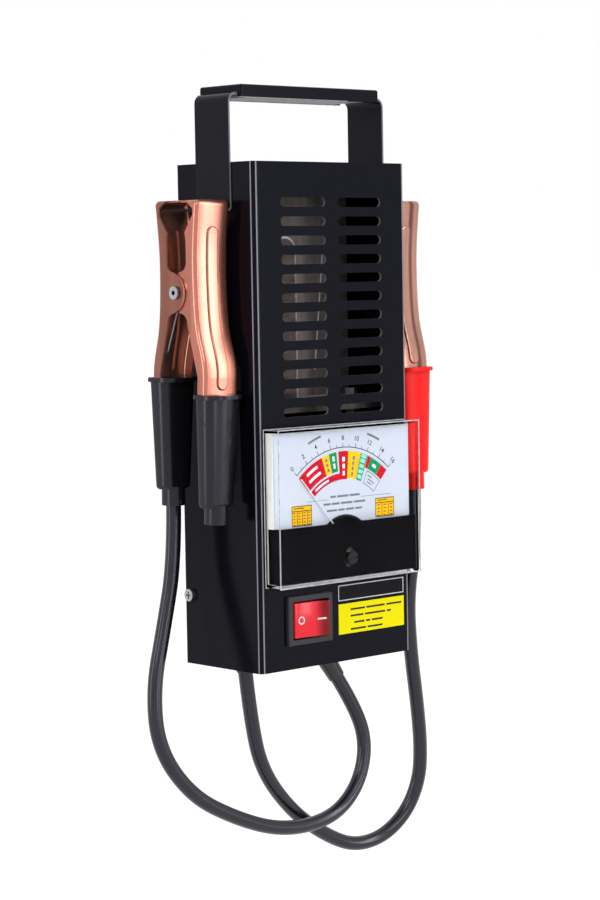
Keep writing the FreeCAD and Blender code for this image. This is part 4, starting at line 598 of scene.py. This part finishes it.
# Painted sheen: a pale sheet just under the cover's top.
top_sheen = surface("top_sheen", (0.34, 0.33, 0.37), 0.3, grain=200, tone=0.25, specular=0.3)
sheen_x, sheen_y = np.meshgrid((-COVER_HALF[0], COVER_HALF[0]), COVER_LOOPS)
sheen_z = np.full(sheen_x.shape, COVER_MIDDLE[1] + COVER_HALF[1] - SHEEN_DROP)
sheen_sheet = grid(np.stack((sheen_x, sheen_y, sheen_z), axis=-1))
add("cover_top_sheen", piece_mesh("cover_top_sheen", sheen_sheet), top_sheen)

# Load switch: a black moulded housing with brass blades, and a concave red
# rocker that dips to its flush end, with a ring and a dash printed on it.
SWITCH_Z = 25.0
ROCKER_LINE = np.array(((-32.3, -31.5), (-21.27, -31.5), (-10.9, -35.0)))
ROCKER_HALF, ROCKER_DEEP, ROCKER_STEPS = 9.0, -26.5, 14
ROCKER_ROUNDING, ROUNDING_STEPS, ROCKER_EDGE = 0.0005, 3, math.radians(40)
SHADED_FROM, SHADED_TO, SHADED_RED = -0.0195, -0.0145, (0.25, 0.004, 0.009)
RING_PART, RING_RADII, RING_STEPS = 0.2, np.array(((2.1,), (1.4,))), 32
DASH_PARTS, DASH_HALF = np.linspace(0.66, 0.9, 7), 0.45
MARK_PROUD = 0.06


def on_rocker(part, proud=0.0):
    """X and Y of a point on the rocker's curve between its two ends, drawn to a middle point,
    from 0 to 1, and moved out square to it."""
    part = np.asarray(part)
    rest = 1 - part
    along = np.stack((-rest, rest - part, part), axis=-1) @ ROCKER_LINE
    along /= np.linalg.norm(along, axis=-1, keepdims=True)
    outward = np.stack((along[..., 1], -along[..., 0]), axis=-1)
    return np.stack((rest ** 2, 2 * rest * part, part ** 2), axis=-1) @ ROCKER_LINE + proud * outward


def rocker_mark(part, height):
    """Points printed on the rocker's face, by their part along it and their height."""
    flat = on_rocker(part, MARK_PROUD)
    return np.stack((flat[..., 0], flat[..., 1], SWITCH_Z + height), axis=-1)


dress(surface("bezel_plastic", (0.034, 0.034, 0.04), 0.45, grain=1500, relief=0.0075, specular=0.2),
      "switch_housing")
dress(brass, "switch_terminals")
red_plastic = surface("red_plastic", (0.9, 0.025, 0.045), 0.16, grain=1100, tone=0.03, specular=0.2)
red_tree = red_plastic.node_tree
# Painted shade: the rocker's raised half is painted a darker red.
raised_half = spread(red_tree, sides(red_tree, "Object")["X"], 0, 1, SHADED_FROM, SHADED_TO)
overlay(red_plastic, raised_half, SHADED_RED)
dress(red_plastic, "switch_rocker")
rocker_feet = np.stack((ROCKER_LINE[[2, 0], 0], np.full(2, ROCKER_DEEP)), axis=-1)
rocker_loop = np.concatenate((on_rocker(np.linspace(0, 1, ROCKER_STEPS + 1)), rocker_feet))
rocker_rings = [np.insert(rocker_loop, 2, SWITCH_Z + way * ROCKER_HALF, axis=1) for way in (-1, 1)]
rocker_mesh = piece_mesh("rocker_button", skin(np.array(rocker_rings)))
rocker_mesh.shade_smooth()
button = add("rocker_button", rocker_mesh, red_plastic, "rocker")
rounding = button.modifiers.new("rounding", "BEVEL")
rounding.width = ROCKER_ROUNDING
rounding.segments = ROUNDING_STEPS
rounding.limit_method = "ANGLE"
rounding.angle_limit = ROCKER_EDGE
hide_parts("switch_rocker")
mark_white = ink("mark_white", (0.82, 0.82, 0.82), 0.35)
ring_turn = 2 * math.pi * np.arange(RING_STEPS) / RING_STEPS
ring_parts = RING_PART + RING_RADII * np.cos(ring_turn) / (ROCKER_LINE[2, 0] - ROCKER_LINE[0, 0])
ring = skin(rocker_mark(ring_parts, RING_RADII * np.sin(ring_turn)), capped=False)
add("switch_ring", piece_mesh("switch_ring", ring), mark_white, "rocker")
dash = grid(rocker_mark(*np.meshgrid(DASH_PARTS, (-DASH_HALF, DASH_HALF))))
add("switch_dash", piece_mesh("switch_dash", dash), mark_white, "rocker")

# Panel plates: a bare black plate with a thin white frame, and a plain yellow
# label with printed bars, both thin foils stuck to the front panel.
PANEL_FRONT, FOIL = -29.0, 0.25
TITLE, LABEL = (0.4, 31.6, 47.7, 8.2), (0.5, 14.1, 47.8, 15.8)
TITLE_LINE, LABEL_BAR = 0.45, 1.0
LABEL_ROWS = ((26.6, ((9, 10.5), (20.5, 13.6), (35.4, 11))), (23.2, ((9, 9.2), (19.4, 15), (35.6, 3))),
              (19.6, ((11.6, 7.4), (20.2, 3), (24.4, 8))), (16.2, ((9, 11), (21.2, 11))))
PLATE_PRINT = PANEL_FRONT - FOIL - LAYER


def foil(name, field, material):
    """A thin plate: its outline at the panel and again at its own front."""
    outline = bar(*field).reshape(-1, 2)[[0, 1, 3, 2]]
    rings = [np.insert(outline, 1, depth, axis=1) for depth in (PANEL_FRONT, PANEL_FRONT - FOIL)]
    return add(name, piece_mesh(name, skin(np.array(rings))), material)


foil("title_plate", TITLE, ink("plate_black", (0.006, 0.006, 0.008), 0.35))
printed("title_frame", border(*TITLE, TITLE_LINE), ink("plate_white", (0.75, 0.75, 0.77), 0.4), PLATE_PRINT)
foil("yellow_label", LABEL, ink("label_yellow", (0.96, 0.86, 0.002), 0.42))
printed("label_bars", row_bars(LABEL_ROWS, LABEL_BAR), ink("label_ink", (0.05, 0.045, 0.03)), PLATE_PRINT)

# Clamp jaws: copper-plated steel pressings that hinge in pairs on a rivet and
# are a little crowned. The left cable jaw is a darker copy of the copper, painted
# shade, with a painted highlight on its faces that face the front; the right pair
# has a darker band across it, painted shade.
UPRIGHT_STREAKS = (3, 3, 0.25)
LEFT_CROWN, RIGHT_CROWN = (-0.062, 5.0), (0.0678, 8.0)
HIGHLIGHT_FACING, JAW_EDGE_HIGHLIGHT = -0.5, (0.8, 0.46, 0.34)
SHADE_BAND_FROM, SHADE_BAND_TO, SHADE_BAND_COLOUR = 0.067, 0.0755, (0.15, 0.055, 0.04)
SHADE_BAND = ((0.35, 0.0), (0.6, 1.0), (0.75, 0.9), (0.95, 0.1))


def crowned(material, middle, bow):
    """Bows a finish's faces outwards across their width: the height, in metres, falls with
    the square of X from a middle."""
    tree = material.node_tree
    aside = calc(tree, "SUBTRACT", sides(tree, "Object")["X"], middle)
    fall = calc(tree, "MULTIPLY", calc(tree, "MULTIPLY", aside, aside), -bow)
    bowed = bump(tree, fall, strength=1, depth=1)
    tree.links.new(bowed.outputs["Normal"], tree.nodes["Bump"].inputs["Normal"])
    return material


def pressing(name, colour, crown):
    """A plated pressing's finish, drawn out in upright streaks."""
    plating = surface(name, colour, 0.2, metal=0.8, grain=260, tone=0.05, gloss=0.03, relief=0.001,
                      stretch=UPRIGHT_STREAKS, wear=0.25, wear_scale=30)
    return crowned(plating, *crown)


dress(pressing("copper", (0.54, 0.2, 0.145), LEFT_CROWN), "left_free_jaw")
# Painted shade: the left cable jaw's copper is a darker copy of the same copper.
shaded_copper = pressing("shaded_copper", (0.3, 0.115, 0.08), LEFT_CROWN)
# Painted highlight: faces of the left cable jaw that face the front are painted light copper.
highlit_faces = calc(shaded_copper.node_tree, "LESS_THAN", sides(shaded_copper.node_tree, "Normal")["Y"], HIGHLIGHT_FACING)
overlay(shaded_copper, highlit_faces, JAW_EDGE_HIGHLIGHT)
dress(shaded_copper, "left_cable_jaw")
dark_copper = pressing("dark_copper", (0.5, 0.25, 0.19), RIGHT_CROWN)
dark_tree = dark_copper.node_tree
# Painted shade: a darker band across the right jaws, along X.
shade_band = dark_tree.nodes.new("ShaderNodeValToRGB")
shade_band.color_ramp.interpolation = "EASE"
shade_band.color_ramp.elements[1].color = (0, 0, 0, 1)
for position, amount in SHADE_BAND:
    shade_band.color_ramp.elements.new(position).color = (amount, amount, amount, 1)
shade_band_part = spread(dark_tree, sides(dark_tree, "Object")["X"], 0, 1, SHADE_BAND_FROM, SHADE_BAND_TO)
dark_tree.links.new(shade_band_part, shade_band.inputs["Fac"])
overlay(dark_copper, shade_band.outputs["Color"], SHADE_BAND_COLOUR)
dress(dark_copper, "right_free_jaw", "right_cable_jaw")
dress(bright_steel, "left_clamp_rivet", "right_clamp_rivet")

# Clamp grips: soft vinyl sleeves pushed over the jaws' handles, black on the
# negative clamp and red on the positive one, with rounded faces.
GRIP_BOW, LEFT_GRIP_X, RIGHT_GRIP_X = 22.0, -0.066, 0.0678
SOFT_TINT = (0.85, 0.85, 1.0)
black_grip = surface("black_grip", (0.011, 0.011, 0.014), 0.2, grain=400, tone=0.04, gloss=0.02, relief=0.001,
                     specular=0.33, wear=0.1, tint=SOFT_TINT)
dress(crowned(black_grip, LEFT_GRIP_X, GRIP_BOW), "left_free_grip", "left_cable_grip")
red_grip = surface("red_soft", (0.97, 0.012, 0.01), 0.36, grain=400, tone=0.03, gloss=0.02, relief=0.001,
                   specular=0.14)
dress(crowned(red_grip, RIGHT_GRIP_X, GRIP_BOW), "right_free_grip", "right_cable_grip")

# Clamp springs: spring steel wire wound round each rivet, with one straight leg
# inside each handle; the real spring winds up as its clamp is squeezed, while this
# wire is built in place at rest and rides on no body.
COIL_RADIUS, COIL_PITCH, COIL_TURNS, WIRE_RADIUS = 3.3, 2.1, 4, 0.75
LEG_LENGTH, LEG_SPREAD, LEG_STEPS = 33.0, 12.5, 6
POINTS_PER_TURN, WIRE_SIDES = 24, 10
PIVOTS = {"left": ((-68.625, 0.5, 193.0), 1), "right": ((67.825, 0.5, 193.0), -1)}
leg_reach = math.hypot(LEG_LENGTH, LEG_SPREAD)
first_angle = math.atan2(-LEG_LENGTH, -LEG_SPREAD) - math.acos(COIL_RADIUS / leg_reach) + 2 * math.pi
sweep = 2 * (first_angle - math.pi / 2) + 2 * math.pi * COIL_TURNS
rise = -COIL_PITCH / (2 * math.pi)


def tube(path, radius, around):
    """A circle carried along a path that keeps nearly square to X: each ring stands square to the path."""
    ahead_of = np.gradient(path, axis=0)
    ahead_of /= np.linalg.norm(ahead_of, axis=1, keepdims=True)
    first = np.array((1.0, 0, 0)) - ahead_of[:, :1] * ahead_of
    first /= np.linalg.norm(first, axis=1, keepdims=True)
    second = np.cross(ahead_of, first)
    turn = (2 * math.pi * np.arange(around) / around)[None, :, None]
    return skin(path[:, None] + radius * (np.cos(turn) * first[:, None] + np.sin(turn) * second[:, None]))


wound = np.linspace(0, sweep, math.ceil(sweep / (2 * math.pi) * POINTS_PER_TURN) + 1)
angle = first_angle - wound
across, upwards = COIL_RADIUS * np.cos(angle), COIL_RADIUS * np.sin(angle)
coil = np.stack((rise * (wound - sweep / 2), across, upwards), axis=-1)
leaving = np.stack((np.full(2, rise), upwards[[0, -1]], -across[[0, -1]]), axis=-1)
leaving *= LEG_LENGTH / np.linalg.norm(leaving, axis=1, keepdims=True)
leg_part = np.linspace(1, 0, LEG_STEPS, endpoint=False)[:, None]
wire_path = np.concatenate((coil[0] - leg_part * leaving[0], coil, coil[-1] + leg_part[::-1] * leaving[1]))
spring_steel = surface("spring_steel", (0.26, 0.26, 0.28), 0.3, metal=1.0, grain=900)
for side, (pivot, way) in PIVOTS.items():
    wire = tube(pivot + wire_path * (way, way, 1), WIRE_RADIUS, WIRE_SIDES)
    spring_mesh = piece_mesh(side + "_spring_wire", wire)
    spring_mesh.shade_smooth()
    spring = add(side + "_spring_wire", spring_mesh, spring_steel, body=None)
    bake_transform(spring)
    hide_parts(side + "_clamp_spring")

# Cables: black vinyl leads, one from each moulded grommet in the case's bottom
# to its clamp's sleeve, each hanging in one loop along its route's points.
CABLE_DIAMETER = 0.0078
CORD_ROUND_STEPS, CORD_LENGTH_STEPS, CORD_ORDER = 6, 12, 3
ROUTES = {
    "cable_negative": (0.348, (
        (-69.35, 18.65, 84.61), (-69.35, 19.16, 55.11), (-77.5, 18.6, 22.5), (-87, 17, -9), (-85.5, 15, -40),
        (-66, 12.5, -66.5), (-38.5, 10, -82), (-12, 8.2, -92), (13.5, 7.2, -94), (34.5, 7, -89),
        (49.5, 7.4, -75), (55.5, 8.6, -55.5), (50, 10.4, -36), (37.7, 12.6, -16.8))),
    "cable_positive": (0.37, (
        (68.55, -17.65, 84.61), (68.55, -18.16, 55.11), (68, -12.5, 25), (75, -7.5, -6), (85, -2, -36),
        (92, 2.5, -61.5), (94, 6, -81.5), (86.5, 9.2, -99.5), (70.8, 12.2, -111), (51.5, 15, -113),
        (32, 17.4, -104), (8, 18, -87), (-14, 16.6, -61.5), (-22.3, 15.3, -33), (-26.1, 14.65, -6.2))),
}


def cord_line(name, places, diameter, material):
    """A round cord on a smooth spline whose control points are the places given, in metres."""
    curve = bpy.data.curves.new(name, "CURVE")
    curve.dimensions = "3D"
    curve.bevel_depth = diameter / 2
    curve.bevel_resolution = CORD_ROUND_STEPS
    curve.resolution_u = CORD_LENGTH_STEPS
    curve.use_fill_caps = True
    spline = curve.splines.new("NURBS")
    spline.points.add(len(places) - 1)
    spline.points.foreach_set("co", np.insert(places, 3, 1, axis=1).ravel())
    spline.order_u = CORD_ORDER
    spline.use_endpoint_u = True
    return add(name, curve, material)


dress(surface("black_soft", (0.012, 0.012, 0.016), 0.3, grain=400, tone=0.04, gloss=0.02, relief=0.001),
      "grommet_left", "grommet_right")
cable_skin = surface("cable_skin", (0.009, 0.009, 0.011), 0.22, grain=700, tone=0.04, gloss=0.03,
                     relief=0.002, wear=0.1, tint=SOFT_TINT)
for name, (length, route) in ROUTES.items():
    places = in_frame(route[::-1])
    cable = cord_line(name + "_sheath", places, CABLE_DIAMETER, cable_skin)
    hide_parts(name)

# Inner leads: thin insulated wires behind the meter, from the grommets to the
# load element and the switch.
LEAD_DIAMETER = 0.0032
LEADS = {
    "lead_positive": ("red_wire", ((-34.8, -6, 122), (-34.8, -6, 92), (-37, 2, 64), (-37.5, 11, 40),
                                   (-31.5, 14.5, 20), (-27, 14.5, 13), (-27, 14.5, 4.2))),
    "lead_switch": ("red_wire", ((34.8, -6, 122), (34.8, -6, 92), (33, 3, 66), (20, 14, 50), (0, 18, 43),
                                 (-18, 18, 34), (-27.8, 11, 25), (-27.8, -1, 25))),
    "lead_negative": ("black_wire", ((-13.8, -1, 25), (-13.8, 12, 25), (-2, 19, 24), (16, 17, 22),
                                     (27, 14.5, 15), (27, 14.5, 4.2))),
}
wire_skins = {"red_wire": surface("red_wire", (0.5, 0.02, 0.02), 0.4, grain=1300),
              "black_wire": surface("black_wire", (0.012, 0.012, 0.012), 0.4, grain=1300)}
for name, (colour, route) in LEADS.items():
    lead = cord_line(name + "_wire", in_frame(route), LEAD_DIAMETER, wire_skins[colour])
    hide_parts(name)
